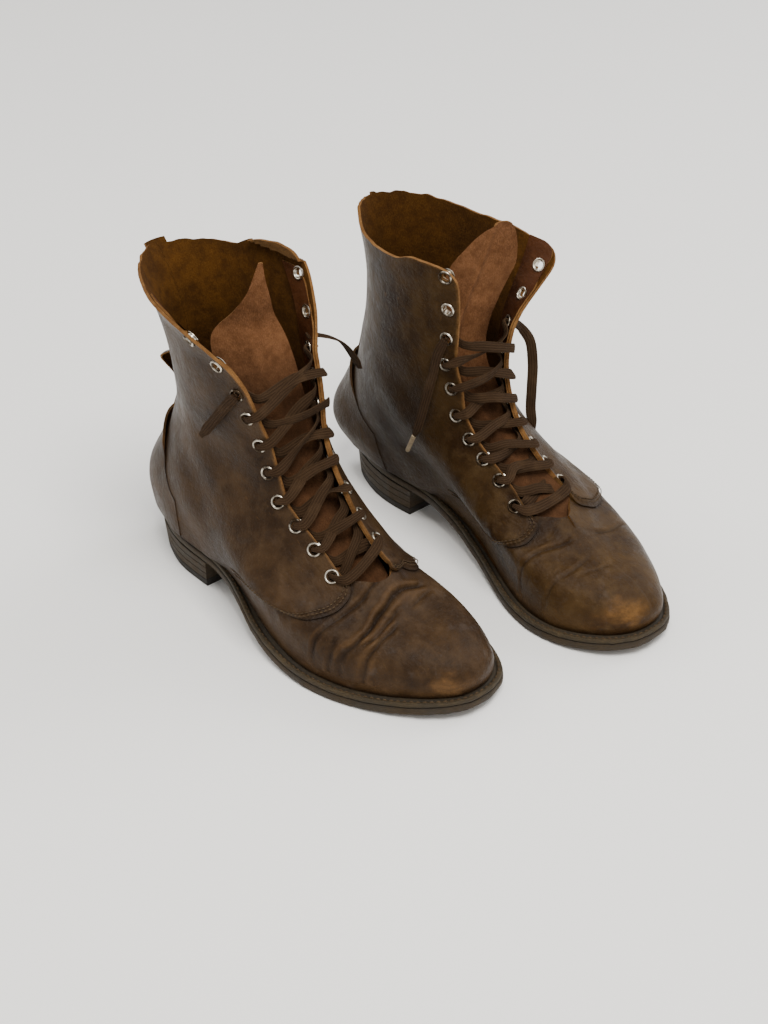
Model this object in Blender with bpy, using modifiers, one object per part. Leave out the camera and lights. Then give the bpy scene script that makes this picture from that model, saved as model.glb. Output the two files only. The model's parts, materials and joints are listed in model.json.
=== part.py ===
"""A pair of ten-eyelet leather lace-up boots, each an assembly of its real pieces.

Every piece is designed in one boot frame, in millimetres: x runs from the heel to the toe,
+y is the inner (medial) side of the right boot, and z is the height above the floor. The left
boot is the mirror image. The two boots stand side by side with their toes along +X.
"""

import math

import bmesh
import bpy
import numpy as np
from mathutils import Matrix, Vector

MM = 0.001

# Where each boot's frame stands, in mm. The pair's bounding box is centred on the origin.
RIGHT_PLACE = (-154.4, -77.5)
LEFT_PLACE = (-126.2, 77.5)

# The upper's surface runs over u and v. v is 0 at the feather line, where the upper meets the
# sole, and 1 at the collar. u is 0 along the front centre line and 1 along the back seam,
# positive on the medial side and negative on the lateral side.
FRONT_V = (0, 0.06, 0.13, 0.21, 0.30, 0.40, 0.50, 0.60, 0.69, 0.77, 0.88, 1.0)
FRONT_XZ = (
    (294, 14), (297, 25), (288, 35), (266, 43), (237, 49), (207, 68),
    (179, 91), (155, 116), (144, 143), (145, 172), (149, 203), (154, 234),
)
BACK_V = (0, 0.13, 0.30, 0.45, 0.60, 0.77, 1.0)
BACK_XZ = ((-6, 34), (-13, 58), (-4, 85), (1, 108), (7, 132), (9, 164), (0, 228))
FEATHER_X = (-20, 50, 90, 130, 180, 220, 260, 300)
FEATHER_Z = (33.6, 33.6, 30.5, 22, 11.6, 9.6, 11.6, 16.5)
WIDTH_V = (0, 0.2, 0.4, 0.6, 0.8, 1.0)
WIDTH_S = (0, 0.15, 0.35, 0.55, 0.72, 0.87, 1.0)
LATERAL_WIDTH = (
    (32, 39, 37, 50, 55, 52, 45),
    (32, 39, 39, 50, 54, 48, 38),
    (28, 33, 35, 38, 38, 33, 28),
    (29, 33, 35, 33, 32, 29, 27),
    (31, 36, 38, 37, 34, 32, 30),
    (35, 41, 43, 42, 40, 36, 34),
)
MEDIAL_WIDTH = (
    (28, 31, 26, 33, 52, 60, 53),
    (28, 31, 28, 37, 51, 56, 45),
    (27, 32, 33, 37, 40, 36, 30),
    (29, 33, 35, 33, 32, 29, 27),
    (31, 36, 38, 37, 34, 32, 30),
    (35, 41, 43, 42, 40, 36, 34),
)
LEAN = (0, 0, 3, 6, 3, 0)  # how far the ankle and shaft lean to the medial side, at WIDTH_V
TOE_SWING = 6.0  # the centre line bends this far to the medial side at the toe

# Leather layers, as distances out from the upper's surface.
VAMP = (-2.2, 0.0)
QUARTER = (1.3, 3.5)
STIFFENER = (4.5, 5.5)
POCKET = (6.5, 7.9)
BACKSTAY = (4.1, 5.6)
TOE_PUFF = (-4.4, -2.8)
EYELET_PLATE = (-0.2, 0.2)
STAY = (-2.1, -0.9)
TONGUE_DEPTH = 7.3
TONGUE_THICK = 1.8

EDGE_V = 0.012  # the upper's lower edge stands just above the welt
QUARTER_FRONT_V = (0.0, 0.10, 0.20, 0.28, 0.34, 0.375, 0.40)
QUARTER_FRONT_U = (0.40, 0.37, 0.32, 0.26, 0.19, 0.145, 0.115)
VAMP_TOP_U = (0.0, 0.12, 0.2, 0.28, 0.34, 0.40, 0.46)
VAMP_TOP_V = (0.385, 0.385, 0.375, 0.33, 0.26, 0.19, 0.13)
BACK_GAP_U = 0.004

ROWS = 10
ROW_PITCH = 19.6
LOWEST_ROW_V = 0.42
LOWEST_HALF_GAP = 21.0
HIGHEST_HALF_GAP = 37.0
EDGE_TO_EYELET = 8.5
STAY_WIDTH = 19.0
FLAP_TOP_U = 0.30  # how far the folding flap reaches behind the facing's edge at the collar
FLAP_GAP_U = 0.006

EYELET_BORE = 2.6
EYELET_BARREL = 3.15
EYELET_FLANGE = 4.9
EYELET_HOLE = 4.0
PLATE_HALF = 4.6
RING_SIDES = 6

LACE_RADIUS = 1.2
LACE_STEP = 8.0
TAIL_STEP = 5.0
LACE_OUTSIDE = 6.4
LACE_OVER_EDGE = 5.5
LACE_INSIDE = -4.2
LACE_CROSSING = 1.9

HEEL_BREAST_X = 71.0
SOLE_OVERHANG = 6.5
HEEL_OVERHANG = 1.0
OUTSOLE_THICK = 6.0
WELT_THICK = 3.0
SOLE_GAP = 0.3
LIFT_THICK = 6.0
HEEL_TAPER = 0.93

COLOURS = {
    "upper_leather": ((0.060, 0.036, 0.020), 0.42, 0.0),
    "rough_leather": ((0.150, 0.070, 0.030), 0.85, 0.0),
    "sole_leather": ((0.055, 0.032, 0.014), 0.70, 0.0),
    "rubber": ((0.020, 0.016, 0.012), 0.80, 0.0),
    "nickel": ((0.62, 0.60, 0.55), 0.30, 1.0),
    "steel": ((0.45, 0.45, 0.45), 0.40, 1.0),
    "cork": ((0.36, 0.23, 0.12), 0.90, 0.0),
    "lace_cotton": ((0.035, 0.018, 0.010), 0.90, 0.0),
    "aglet_plastic": ((0.50, 0.40, 0.27), 0.40, 0.0),
}

# Free lace ends, as (x, y, z) in each boot's frame, from the third eyelet down.
TAILS = {
    "right_tail_lateral": (
        (112.1, -35.1, 185.2), (112.1, -37.1, 184.2), (109.4, -37.6, 180), (105, -36.6, 174),
        (98, -37, 164), (90.5, -36.8, 151), (85, -35, 138),
    ),
    "right_tail_medial": (
        (112.4, 39.6, 186.1), (112.6, 42, 185.8), (110, 47, 184), (105, 56, 180), (98, 66, 170),
        (90, 75, 154),
    ),
    "left_tail_medial": (
        (112.6, 40.2, 186.1), (112.6, 42.3, 185.2), (110, 43.4, 180.5), (101, 43.2, 167),
        (96.5, 43.8, 155), (91, 44.8, 140), (88, 45.4, 128),
    ),
    "left_tail_lateral": (
        (111.9, -34.5, 185.2), (112.2, -36.9, 184.2), (113, -38.6, 179.5), (112.5, -37.5, 168),
        (110.5, -35, 154), (109, -33.4, 139), (109, -33, 125),
    ),
}
AGLETS = {"left_aglet_medial": "left_tail_medial", "left_aglet_lateral": "left_tail_lateral"}
AGLET_LENGTH = 16.0
AGLET_RADIUS = 1.5


def spline(knots, values, at):
    """A natural cubic spline through values, which may have several columns, at the knots."""
    knots = np.asarray(knots, float)
    values = np.asarray(values, float)
    columns = values.reshape(len(knots), -1)
    step = np.diff(knots)
    system = np.eye(len(knots))
    right = np.zeros_like(columns)
    for i in range(1, len(knots) - 1):
        system[i, i - 1 : i + 2] = step[i - 1], 2 * (step[i - 1] + step[i]), step[i]
        slopes = np.diff(columns[i - 1 : i + 2], axis=0) / step[i - 1 : i + 1, None]
        right[i] = 6 * (slopes[1] - slopes[0])
    bend = np.linalg.solve(system, right)
    at = np.asarray(at, float)
    t = np.clip(at.ravel(), knots[0], knots[-1])
    i = np.clip(np.searchsorted(knots, t, side="right") - 1, 0, len(knots) - 2)
    a = ((knots[i + 1] - t) / step[i])[:, None]
    b = 1 - a
    square = (step[i] ** 2)[:, None]
    found = a * columns[i] + b * columns[i + 1]
    found += ((a**3 - a) * bend[i] + (b**3 - b) * bend[i + 1]) * square / 6
    return found.reshape(at.shape + values.shape[1:])


def feather(x):
    return spline(FEATHER_X, FEATHER_Z, x)


def lean(v):
    return spline(WIDTH_V, LEAN, v)


def half_width(table, v, s):
    across = np.stack([spline(WIDTH_S, row, s.ravel()) for row in table])
    weights = spline(WIDTH_V, np.eye(len(WIDTH_V)), v.ravel())
    return (weights * across.T).sum(1).reshape(s.shape)


def upper(u, v):
    """Points on the upper's surface, in mm."""
    u, v = np.broadcast_arrays(np.asarray(u, float), np.asarray(v, float))
    u = (u + 1) % 2 - 1
    front = spline(FRONT_V, FRONT_XZ, v)
    back = spline(BACK_V, BACK_XZ, v)
    s = (1 + np.cos(np.pi * u)) / 2
    x = back[..., 0] + (front[..., 0] - back[..., 0]) * s
    straight = back[..., 1] + (front[..., 1] - back[..., 1]) * s
    along_feather = feather(x)
    along_feather += (back[..., 1] - feather(back[..., 0])) * (1 - s)
    along_feather += (front[..., 1] - feather(front[..., 0])) * s
    low = np.clip(1 - v / 0.6, 0, 1)
    low = low * low * (3 - 2 * low)
    z = straight + (along_feather - straight) * low
    width = np.where(u > 0, half_width(MEDIAL_WIDTH, v, s), half_width(LATERAL_WIDTH, v, s))
    y = np.sign(u) * width * np.abs(np.sin(np.pi * u)) ** (0.80 + 0.15 * v)
    y += TOE_SWING * np.clip((x - 80) / 200, 0, 1) ** 1.5 * (1 - v) + lean(v)
    return np.stack([x, y, z], -1)


def outward(u, v):
    """Unit normals of the upper's surface, pointing out of the boot."""
    du, dv = 0.004, 0.004
    u = np.asarray(u, float)
    v = np.asarray(v, float)
    along_u = upper(u + du, v) - upper(u - du, v)
    along_v = upper(u, np.clip(v + dv, 0, 1)) - upper(u, np.clip(v - dv, 0, 1))
    normal = np.cross(along_u, along_v)
    return normal / np.linalg.norm(normal, axis=-1, keepdims=True)


def layer(u, v, offset):
    """Points at a distance out from the upper's surface."""
    return upper(u, v) + outward(u, v) * np.asarray(offset, float)[..., None]


def mix(first, second, start, end, t):
    return ((end - t) * first + (t - start) * second) / (end - start)


def smooth_path(points, step):
    """A centripetal Catmull-Rom curve through the points, cut into pieces of about one step."""
    points = np.asarray(points, float)
    ends = np.vstack([2 * points[0] - points[1], points, 2 * points[-1] - points[-2]])
    path = []
    for four in zip(ends[:-3], ends[1:-2], ends[2:-1], ends[3:]):
        chords = np.linalg.norm(np.diff(four, axis=0), axis=1)
        knots = np.concatenate([[0], np.cumsum(np.sqrt(chords))])
        count = max(1, round(float(chords[1]) / step))
        for t in np.linspace(knots[1], knots[2], count, endpoint=False):
            level = four
            for reach in (1, 2):
                level = [
                    mix(level[k], level[k + 1], knots[k], knots[k + reach], t)
                    for k in range(4 - reach)
                ]
            path.append(mix(level[0], level[1], knots[1], knots[2], t))
    return np.array([*path, points[-1]])


# The facings: each side's front edge, and the line its eyelets follow.


def half_gap(v):
    """Distance of the eyelet line from the centre plane at height v."""
    rise = np.clip((np.asarray(v, float) - LOWEST_ROW_V) / (1 - LOWEST_ROW_V), 0, 1)
    return LOWEST_HALF_GAP + (HIGHEST_HALF_GAP - LOWEST_HALF_GAP) * rise**1.4


def u_at(side, y_distance, v):
    """The u where the surface is y_distance from the leaning centre plane on that side."""
    u = np.linspace(0.02, 0.5, 241)
    distance = (upper(side * u, np.full_like(u, v))[:, 1] - lean(v)) * side
    return side * float(np.interp(y_distance, np.maximum.accumulate(distance), u))


def eyelet_line(side):
    """(v, u, length) samples along a side's eyelet line, from the lowest row to the collar."""
    v = np.linspace(LOWEST_ROW_V, 1, 120)
    u = np.array([u_at(side, float(half_gap(t)), t) for t in v])
    steps = np.linalg.norm(np.diff(upper(u, v), axis=0), axis=1)
    return v, u, np.concatenate([[0], np.cumsum(steps)])


LATERAL, MEDIAL = -1, 1
SIDE_NAME = {LATERAL: "lateral", MEDIAL: "medial"}
LINE = {side: eyelet_line(side) for side in (LATERAL, MEDIAL)}


def row_v(row):
    """Height parameter of an eyelet row, counted from 1 at the collar. May be fractional."""
    v, _, length = LINE[LATERAL]
    return float(np.interp((ROWS - row) * ROW_PITCH, length, v))


def eyelet_u(side, v):
    line_v, line_u, _ = LINE[side]
    return np.interp(v, line_v, line_u)


def beside_eyelet(side, v, distance):
    """u at a distance in mm behind the eyelet line, or in front of it if negative."""
    u = eyelet_u(side, v)
    shape_u = np.asarray(u, float)
    ahead = upper(shape_u - side * 0.01, v)
    behind = upper(shape_u + side * 0.01, v)
    per_u = np.linalg.norm(behind - ahead, axis=-1) / 0.02
    return u + side * distance / per_u


def quarter_front_u(side, v):
    """The quarter's front edge, over the vamp and then along the facing."""
    facing = np.abs(beside_eyelet(side, np.maximum(v, LOWEST_ROW_V), -EDGE_TO_EYELET))
    over_vamp = np.interp(v, QUARTER_FRONT_V, QUARTER_FRONT_U)
    blend = np.clip((v - 0.375) / 0.05, 0, 1)
    return over_vamp * (1 - blend) + facing * blend


FOLD_V = row_v(2.5)


def fold_u(side, v):
    """The flap's rear edge: a diagonal from the facing up and back to the collar."""
    rise = np.clip((v - FOLD_V) / (1 - FOLD_V), 0, 1)
    return quarter_front_u(side, v) + FLAP_TOP_U * rise**0.9


# Blender objects.


def clear_scene():
    for obj in list(bpy.data.objects):
        bpy.data.objects.remove(obj)


def material(name):
    found = bpy.data.materials.get(name)
    if found:
        return found
    colour, roughness, metallic = COLOURS[name]
    made = bpy.data.materials.new(name)
    made.use_nodes = True
    shader = made.node_tree.nodes["Principled BSDF"]
    shader.inputs["Base Color"].default_value = (*colour, 1)
    shader.inputs["Roughness"].default_value = roughness
    shader.inputs["Metallic"].default_value = metallic
    return made


def new_object(name, mesh, material_name, collection, parent):
    obj = bpy.data.objects.new(name, mesh)
    if material_name and not mesh.materials:
        mesh.materials.append(material(material_name))
    collection.objects.link(obj)
    obj.parent = parent
    return obj


def mesh_of(bm, name):
    bmesh.ops.recalc_face_normals(bm, faces=bm.faces)
    mesh = bpy.data.meshes.new(name)
    bm.to_mesh(mesh)
    bm.free()
    mesh.shade_smooth()
    mesh.set_sharp_from_angle(angle=math.radians(40))
    return mesh


def sheet_mesh(name, points):
    """An open surface over a grid of points, whose faces point to du x dv."""
    mesh = bpy.data.meshes.new(name)
    rows, columns = points.shape[:2]
    faces = [
        (r * columns + c, (r + 1) * columns + c, (r + 1) * columns + c + 1, r * columns + c + 1)
        for r in range(rows - 1)
        for c in range(columns - 1)
    ]
    mesh.from_pydata((points.reshape(-1, 3) * MM).tolist(), [], faces)
    mesh.shade_smooth()
    return mesh


def thicken(obj, thickness, offset=1.0):
    solid = obj.modifiers.new("thickness", "SOLIDIFY")
    solid.thickness = thickness * MM
    solid.offset = offset
    solid.use_even_offset = False
    return solid


class Boot:
    """The objects of the right boot, under one empty, and how to copy them to the left."""

    def __init__(self, parts, cutters):
        self.parts = parts
        self.cutters = cutters
        self.base = self.empty("right_boot", (0, 0, 0), None)
        self.hinges = {}
        self.made = []

    def empty(self, name, place, parent):
        obj = bpy.data.objects.new(name, None)
        obj.location = Vector(place) * MM
        obj.parent = parent
        self.parts.objects.link(obj)
        return obj

    def add(self, name, mesh, material_name, hinge=None):
        parent = self.hinges.get(hinge, self.base)
        obj = new_object(f"right_{name}", mesh, material_name, self.parts, parent)
        if parent is not self.base:
            obj.location = -parent.location
        self.made.append(obj)
        return obj

    def shell(self, name, u, v, layers, material_name, hinge=None):
        """A slab of leather over a grid of u and v, between two layers."""
        inner, outer = layers
        mesh = sheet_mesh(name, layer(u, v, np.full(np.shape(u), inner)))
        obj = self.add(name, mesh, material_name, hinge)
        thicken(obj, outer - inner)
        return obj


def side_grid(side, front, back, v, columns):
    """u and v grids between two edges given for each v, running so that faces point out."""
    t = np.linspace(0, 1, columns)[:, None]
    t = t - 0.08 * np.sin(2 * np.pi * t)  # columns stand closer near both edges
    u = side * (front[None, :] + (back - front)[None, :] * t)
    if side < 0:
        u = u[::-1]
    return u, np.broadcast_to(v, u.shape)


def vamp_top(u):
    return np.interp(np.abs(u), VAMP_TOP_U, VAMP_TOP_V)


def make_vamp(boot):
    u = np.linspace(-0.46, 0.46, 25)
    t = np.array([0, 0.11, 0.22, 0.34, 0.46, 0.58, 0.72, 0.86, 1.0])
    v = EDGE_V + (vamp_top(u)[:, None] - EDGE_V) * t
    boot.shell("vamp", np.broadcast_to(u[:, None], v.shape), v, VAMP, "upper_leather")


def make_toe_puff(boot):
    u = np.linspace(-0.23, 0.23, 13)
    t = np.array([0, 0.35, 0.7, 1.0])
    top = 0.22 - 0.14 * (np.abs(u) / 0.23) ** 2
    v = 0.05 + (top[:, None] - 0.05) * t
    boot.shell("toe_puff", np.broadcast_to(u[:, None], v.shape), v, TOE_PUFF, "sole_leather")


def cut_eyelet_holes(boot, obj, side, rows):
    """Bores an eyelet hole through a leather piece at each of the rows."""
    bm = bmesh.new()
    for row in rows:
        v = row_v(row)
        u = float(eyelet_u(side, v))
        centre = Vector(upper(u, v) * MM)
        turn = Vector((0, 0, 1)).rotation_difference(Vector(outward(u, v))).to_matrix().to_4x4()
        bmesh.ops.create_cone(
            bm, cap_ends=True, segments=RING_SIDES, radius1=EYELET_HOLE * MM,
            radius2=EYELET_HOLE * MM, depth=16 * MM, matrix=Matrix.Translation(centre) @ turn,
        )
    name = f"{obj.name}_holes"
    cutter = new_object(name, mesh_of(bm, name), None, boot.cutters, obj.parent)
    cutter.location = obj.location
    cutter.hide_render = True
    cutter.display_type = "WIRE"
    cut = obj.modifiers.new("eyelet_holes", "BOOLEAN")
    cut.operation = "DIFFERENCE"
    cut.object = cutter


QUARTER_ROWS = range(3, ROWS + 1)
FLAP_ROWS = (1, 2)


def make_quarter(boot, side):
    below = np.array([EDGE_V, 0.06, 0.11, 0.16, 0.21, 0.26, 0.31, 0.35, 0.385, 0.415])
    along = np.array([0.455, 0.495, 0.535, 0.575, 0.62, 0.67, 0.73, 0.80, FOLD_V - 0.004])
    above = np.linspace(FOLD_V + 0.014, 1.0, 4)
    v = np.concatenate([below, along, above])
    front = np.where(v < FOLD_V, quarter_front_u(side, v), fold_u(side, v) + FLAP_GAP_U)
    u, v = side_grid(side, front, np.full_like(v, 1 - BACK_GAP_U), v, 11)
    obj = boot.shell(f"quarter_{SIDE_NAME[side]}", u, v, QUARTER, "upper_leather")
    cut_eyelet_holes(boot, obj, side, QUARTER_ROWS)


def make_flap(boot, side):
    v = np.linspace(FOLD_V + 0.016, 1.0, 6)
    u, v = side_grid(side, quarter_front_u(side, v), fold_u(side, v), v, 5)
    name = SIDE_NAME[side]
    obj = boot.shell(f"flap_{name}", u, v, QUARTER, "upper_leather", f"flap_{name}")
    cut_eyelet_holes(boot, obj, side, FLAP_ROWS)


def make_stay(boot, side, name, low, high, hinge, rows):
    """The strip that backs the eyelets inside the facing."""
    v = np.linspace(low, high, max(3, round((high - low) / 0.06)))
    front = np.abs(beside_eyelet(side, v, -EDGE_TO_EYELET + 0.5))
    back = np.minimum(np.abs(beside_eyelet(side, v, STAY_WIDTH - EDGE_TO_EYELET)), fold_limit(side, v))
    u, v = side_grid(side, front, back, v, 3)
    obj = boot.shell(name, u, v, STAY, "rough_leather", hinge)
    cut_eyelet_holes(boot, obj, side, rows)


def fold_limit(side, v):
    """How far back a strip may reach before it crosses the flap's fold."""
    return np.where(v > FOLD_V, fold_u(side, v) - 0.004, 1.0)


def ring_points(centre, normal, along, radius, offset):
    """RING_SIDES points round an eyelet's axis, starting along the row."""
    across = np.cross(normal, along)
    turn = 2 * np.pi * np.arange(RING_SIDES) / RING_SIDES
    circle = np.cos(turn)[:, None] * along + np.sin(turn)[:, None] * across
    return centre + normal * offset + circle * radius


def row_frame(side, row):
    """A point on the eyelet line, with the surface's normal and the line's direction there."""
    v = row_v(row)
    u = float(eyelet_u(side, v))
    high, low = v + 0.02, v - 0.02
    along = upper(eyelet_u(side, high), high) - upper(eyelet_u(side, low), low)
    normal = outward(u, v)
    along -= normal * (along @ normal)
    return upper(u, v), normal, along / np.linalg.norm(along)


def make_eyelets(boot, side, name, rows, hinge):
    """A row of turned metal eyelets whose back flanges are joined in one thin strip."""
    rows = list(rows)
    frames = [row_frame(side, row) for row in rows]
    joints = [row_frame(side, row + 0.5) for row in rows[:-1]]
    bm = bmesh.new()

    def loop(points):
        return [bm.verts.new(point * MM) for point in points]

    def between(first, second):
        for k in range(RING_SIDES):
            m = (k + 1) % RING_SIDES
            bm.faces.new((first[k], first[m], second[m], second[k]))

    def border(centre, normal, along, reach, offset):
        """Three points across the strip, at its end or at a joint between two eyelets."""
        across = np.cross(normal, along)
        middle = centre + along * reach + normal * offset
        return loop([middle + across * PLATE_HALF * k for k in (1, 0, -1)])

    low, high = EYELET_PLATE
    ends = [border(*frames[0], PLATE_HALF, offset) for offset in (low, high)]
    upper_end = ends
    for k, frame in enumerate(frames):
        if k < len(joints):
            lower_end = [border(*joints[k], 0, offset) for offset in (low, high)]
        else:
            lower_end = [border(*frame, -PLATE_HALF, offset) for offset in (low, high)]
        rims = []
        for level in range(2):
            top, bottom = upper_end[level], lower_end[level]
            rims.append([top[1], top[0], bottom[0], bottom[1], bottom[2], top[2]])
        profile = (
            (EYELET_BARREL, high), (EYELET_BARREL, QUARTER[1] + 0.35), (EYELET_FLANGE, QUARTER[1] + 0.35),
            (EYELET_FLANGE - 0.5, QUARTER[1] + 1.05), (EYELET_BORE, QUARTER[1] + 1.05), (EYELET_BORE, low),
        )
        loops = [loop(ring_points(*frame, radius, offset)) for radius, offset in profile]
        chain = [rims[1], *loops, rims[0]]
        for one, other in zip(chain[:-1], chain[1:]):
            between(one, other)
        low_rim, high_rim = rims
        for a, b in ((1, 2), (4, 5)):
            bm.faces.new((low_rim[a], low_rim[b], high_rim[b], high_rim[a]))
        if k == 0:
            close_end(bm, upper_end)
        upper_end = lower_end
    close_end(bm, upper_end)
    boot.add(name, mesh_of(bm, name), "nickel", hinge)


def close_end(bm, end):
    low, high = end
    for a, b in ((0, 1), (1, 2)):
        bm.faces.new((low[a], low[b], high[b], high[a]))


def make_backstay(boot):
    """The strip over the back seam, from the heel pocket to the collar."""
    across = 1 + np.linspace(-0.055, 0.055, 5)
    v = np.linspace(0.435, 0.992, 11)
    u, v = np.meshgrid(across, v, indexing="ij")
    boot.shell("backstay", u, v, BACKSTAY, "upper_leather")


WRAP_STEP_U = 0.0375


def heel_wrap(boot, name, steps, top, layers, material_name):
    """A piece wrapped round the heel, highest at the back seam."""
    reach = steps * WRAP_STEP_U
    across = 1 + WRAP_STEP_U * np.arange(-steps, steps + 1)
    height = top - (top - 0.20) * (np.abs(across - 1) / reach) ** 2.2
    t = np.array([0, 0.10, 0.22, 0.36, 0.54, 0.76, 1.0])
    v = EDGE_V + (height[:, None] - EDGE_V) * t
    boot.shell(name, np.broadcast_to(across[:, None], v.shape), v, layers, material_name)


def tongue_surface(w, v):
    """Points across the tongue: w runs from -1 to 1, lateral to medial, v up the boot."""
    points = []
    for wi, vi in zip(w.ravel(), v.ravel()):
        low = min(vi, 1.0)
        root = np.clip((LOWEST_ROW_V - low) / (LOWEST_ROW_V - TONGUE_LOW_V), 0, 1)
        ends = []
        for side in (LATERAL, MEDIAL):
            u = float(eyelet_u(side, low)) * (1 - 0.3 * root)
            ends.append(layer(u, low, -TONGUE_DEPTH))
        chord = ends[0] + (ends[1] - ends[0]) * (wi + 1) / 2
        points.append(chord + tongue_normal(low) * (1 - wi * wi) * TONGUE_CROWN)
        if vi > 1:
            points[-1] = points[-1] + np.array([2.0, 0, 100.0]) * (vi - 1)
    return np.array(points).reshape(*w.shape, 3)


TONGUE_CROWN = 2.0
TONGUE_LOW_V = 0.355
TONGUE_TOP_V = 1.03


def tongue_normal(v):
    """The way the gap between the facings faces, square to the laces' run."""
    v = float(np.clip(v, LOWEST_ROW_V, 0.99))
    middle = []
    for t in (v - 0.02, v + 0.01):
        sides = [upper(eyelet_u(side, max(t, LOWEST_ROW_V)), t) for side in (LATERAL, MEDIAL)]
        middle.append((sides[0] + sides[1]) / 2)
    up = middle[1] - middle[0]
    normal = np.cross((0, 1, 0), up)
    return normal / np.linalg.norm(normal)


def make_tongue(boot):
    w, v = np.meshgrid(np.linspace(-1, 1, 7), np.linspace(TONGUE_LOW_V, TONGUE_TOP_V, 13), indexing="ij")
    mesh = sheet_mesh("tongue", tongue_surface(w * (1 - 0.25 * np.clip((v - 0.97) / 0.06, 0, 1)), v))
    thicken(boot.add("tongue", mesh, "rough_leather", "tongue"), TONGUE_THICK, -1.0)


# The sole, in flat plates bent to the outsole's profile.


def outline(u, overhang):
    """Plan points round the feather line, moved out by an overhang."""
    ring = upper(u, np.zeros_like(u))
    ahead = upper(u + 0.01, np.zeros_like(u)) - upper(u - 0.01, np.zeros_like(u))
    out = np.stack([ahead[:, 1], -ahead[:, 0]], -1)
    out /= np.linalg.norm(out, axis=1, keepdims=True)
    return ring[:, :2] + out * np.asarray(overhang, float)[..., None]


def sole_overhang(u):
    """The sole stands out round the forefoot and less round the heel."""
    x = upper(u, np.zeros_like(u))[:, 0]
    forefoot = np.clip((x - 80) / 60, 0, 1)
    return HEEL_OVERHANG + (SOLE_OVERHANG - HEEL_OVERHANG) * forefoot


def outsole_bottom(x):
    return feather(x) - SOLE_GAP - WELT_THICK - SOLE_GAP - OUTSOLE_THICK


def plate(name, u_from, u_to, inset, bottom, top, taper=1.0, columns=3, stations=18):
    """A solid between two heights that vary with x, across the boot from u to -u."""
    u = np.linspace(u_from, u_to, stations)
    medial = outline(u, sole_overhang(u) - inset)
    lateral = outline(-u, sole_overhang(-u) - inset)
    across = np.linspace(0, 1, columns)
    plan = medial[:, None] * (1 - across)[:, None] + lateral[:, None] * across[:, None]
    bm = bmesh.new()
    grid = [[bm.verts.new((x * MM, y * MM, 0)) for x, y in line] for line in plan]
    for one, other in zip(grid[:-1], grid[1:]):
        for k in range(columns - 1):
            bm.faces.new((one[k], one[k + 1], other[k + 1], other[k]))
    made = bmesh.ops.extrude_face_region(bm, geom=bm.faces[:])
    raised = {item for item in made["geom"] if isinstance(item, bmesh.types.BMVert)}
    centre = np.array([28.0, 0.0])
    for vert in bm.verts:
        x = vert.co.x / MM
        if vert in raised:
            vert.co.z = top(x) * MM
            continue
        vert.co.z = bottom(x) * MM
        for k in (0, 1):
            vert.co[k] = (centre[k] + (vert.co[k] / MM - centre[k]) * taper) * MM
    return mesh_of(bm, name)


def make_sole(boot):
    tip_u, back_u = 0.03, 0.97
    boot.add(
        "outsole",
        plate("outsole", tip_u, back_u, 0, outsole_bottom, lambda x: outsole_bottom(x) + OUTSOLE_THICK,
              stations=24),
        "sole_leather",
    )
    u = np.linspace(0.5, 0.97, 400)
    breast_u = float(np.interp(-HEEL_BREAST_X, -upper(u, np.zeros_like(u))[:, 0], u))
    lift_top = LIFT_THICK
    middle = HEEL_TAPER + (1 - HEEL_TAPER) * lift_top / outsole_bottom(0.0)
    boot.add(
        "heel_lift",
        plate("heel_lift", breast_u, back_u, (1 - middle) * 34, lambda x: 0.0, lambda x: lift_top,
              HEEL_TAPER / middle, stations=8),
        "rubber",
    )
    boot.add(
        "heel_stack",
        plate("heel_stack", breast_u, back_u, 0, lambda x: lift_top + SOLE_GAP,
              lambda x: outsole_bottom(x) - SOLE_GAP, middle, stations=8),
        "sole_leather",
    )
    boot.add("insole", plate("insole", 0.05, 0.95, 10.0, lambda x: feather(x) - SOLE_GAP + 0.3,
                             lambda x: feather(x) + 3.0), "rough_leather")
    boot.add("cork_filler", plate("cork_filler", 0.08, 0.5, 15.0, lambda x: feather(x) - WELT_THICK - 0.3,
                                  lambda x: feather(x) - 0.6, stations=12), "cork")
    make_shank(boot)
    make_welt(boot)


SHANK_X = (35.0, 138.0)


def make_shank(boot):
    """A spring-steel strip through the waist, under the insole and behind the cork."""
    x = np.linspace(*SHANK_X, 9)
    y = np.array([-7.5, 7.5])
    points = np.stack([
        np.stack([x, np.full_like(x, side), feather(x) - WELT_THICK + 0.3], -1) for side in y[::-1]
    ])
    obj = boot.add("shank", sheet_mesh("shank", points), "steel")
    thicken(obj, 1.4)


def make_welt(boot):
    """A strip round the boot between the upper and the outsole, stitched through in life."""
    u = np.linspace(-1, 1, 46, endpoint=False)
    outer = outline(u, sole_overhang(u) - 0.4)
    inner = outline(u, np.full_like(u, -4.2))
    bm = bmesh.new()

    def ring(plan, height):
        return [bm.verts.new((x * MM, y * MM, (feather(x) + height) * MM)) for x, y in plan]

    low, high = -WELT_THICK - SOLE_GAP, -SOLE_GAP
    loops = [ring(inner, low), ring(outer, low), ring(outer, high), ring(inner, high)]
    for one, other in zip(loops, loops[1:] + loops[:1]):
        for k in range(len(u)):
            m = (k + 1) % len(u)
            bm.faces.new((one[k], one[m], other[m], other[k]))
    boot.add("welt", mesh_of(bm, "welt"), "sole_leather")


# The lace.


def lace_turn(side, row, offset):
    v = row_v(row)
    return layer(float(eyelet_u(side, v)), v, offset)


def facing_edge(side, row, offset):
    """A point over or under the facing's front edge."""
    v = row_v(row)
    return layer(float(beside_eyelet(side, v, -EDGE_TO_EYELET - 1.5)), v, offset)


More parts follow.
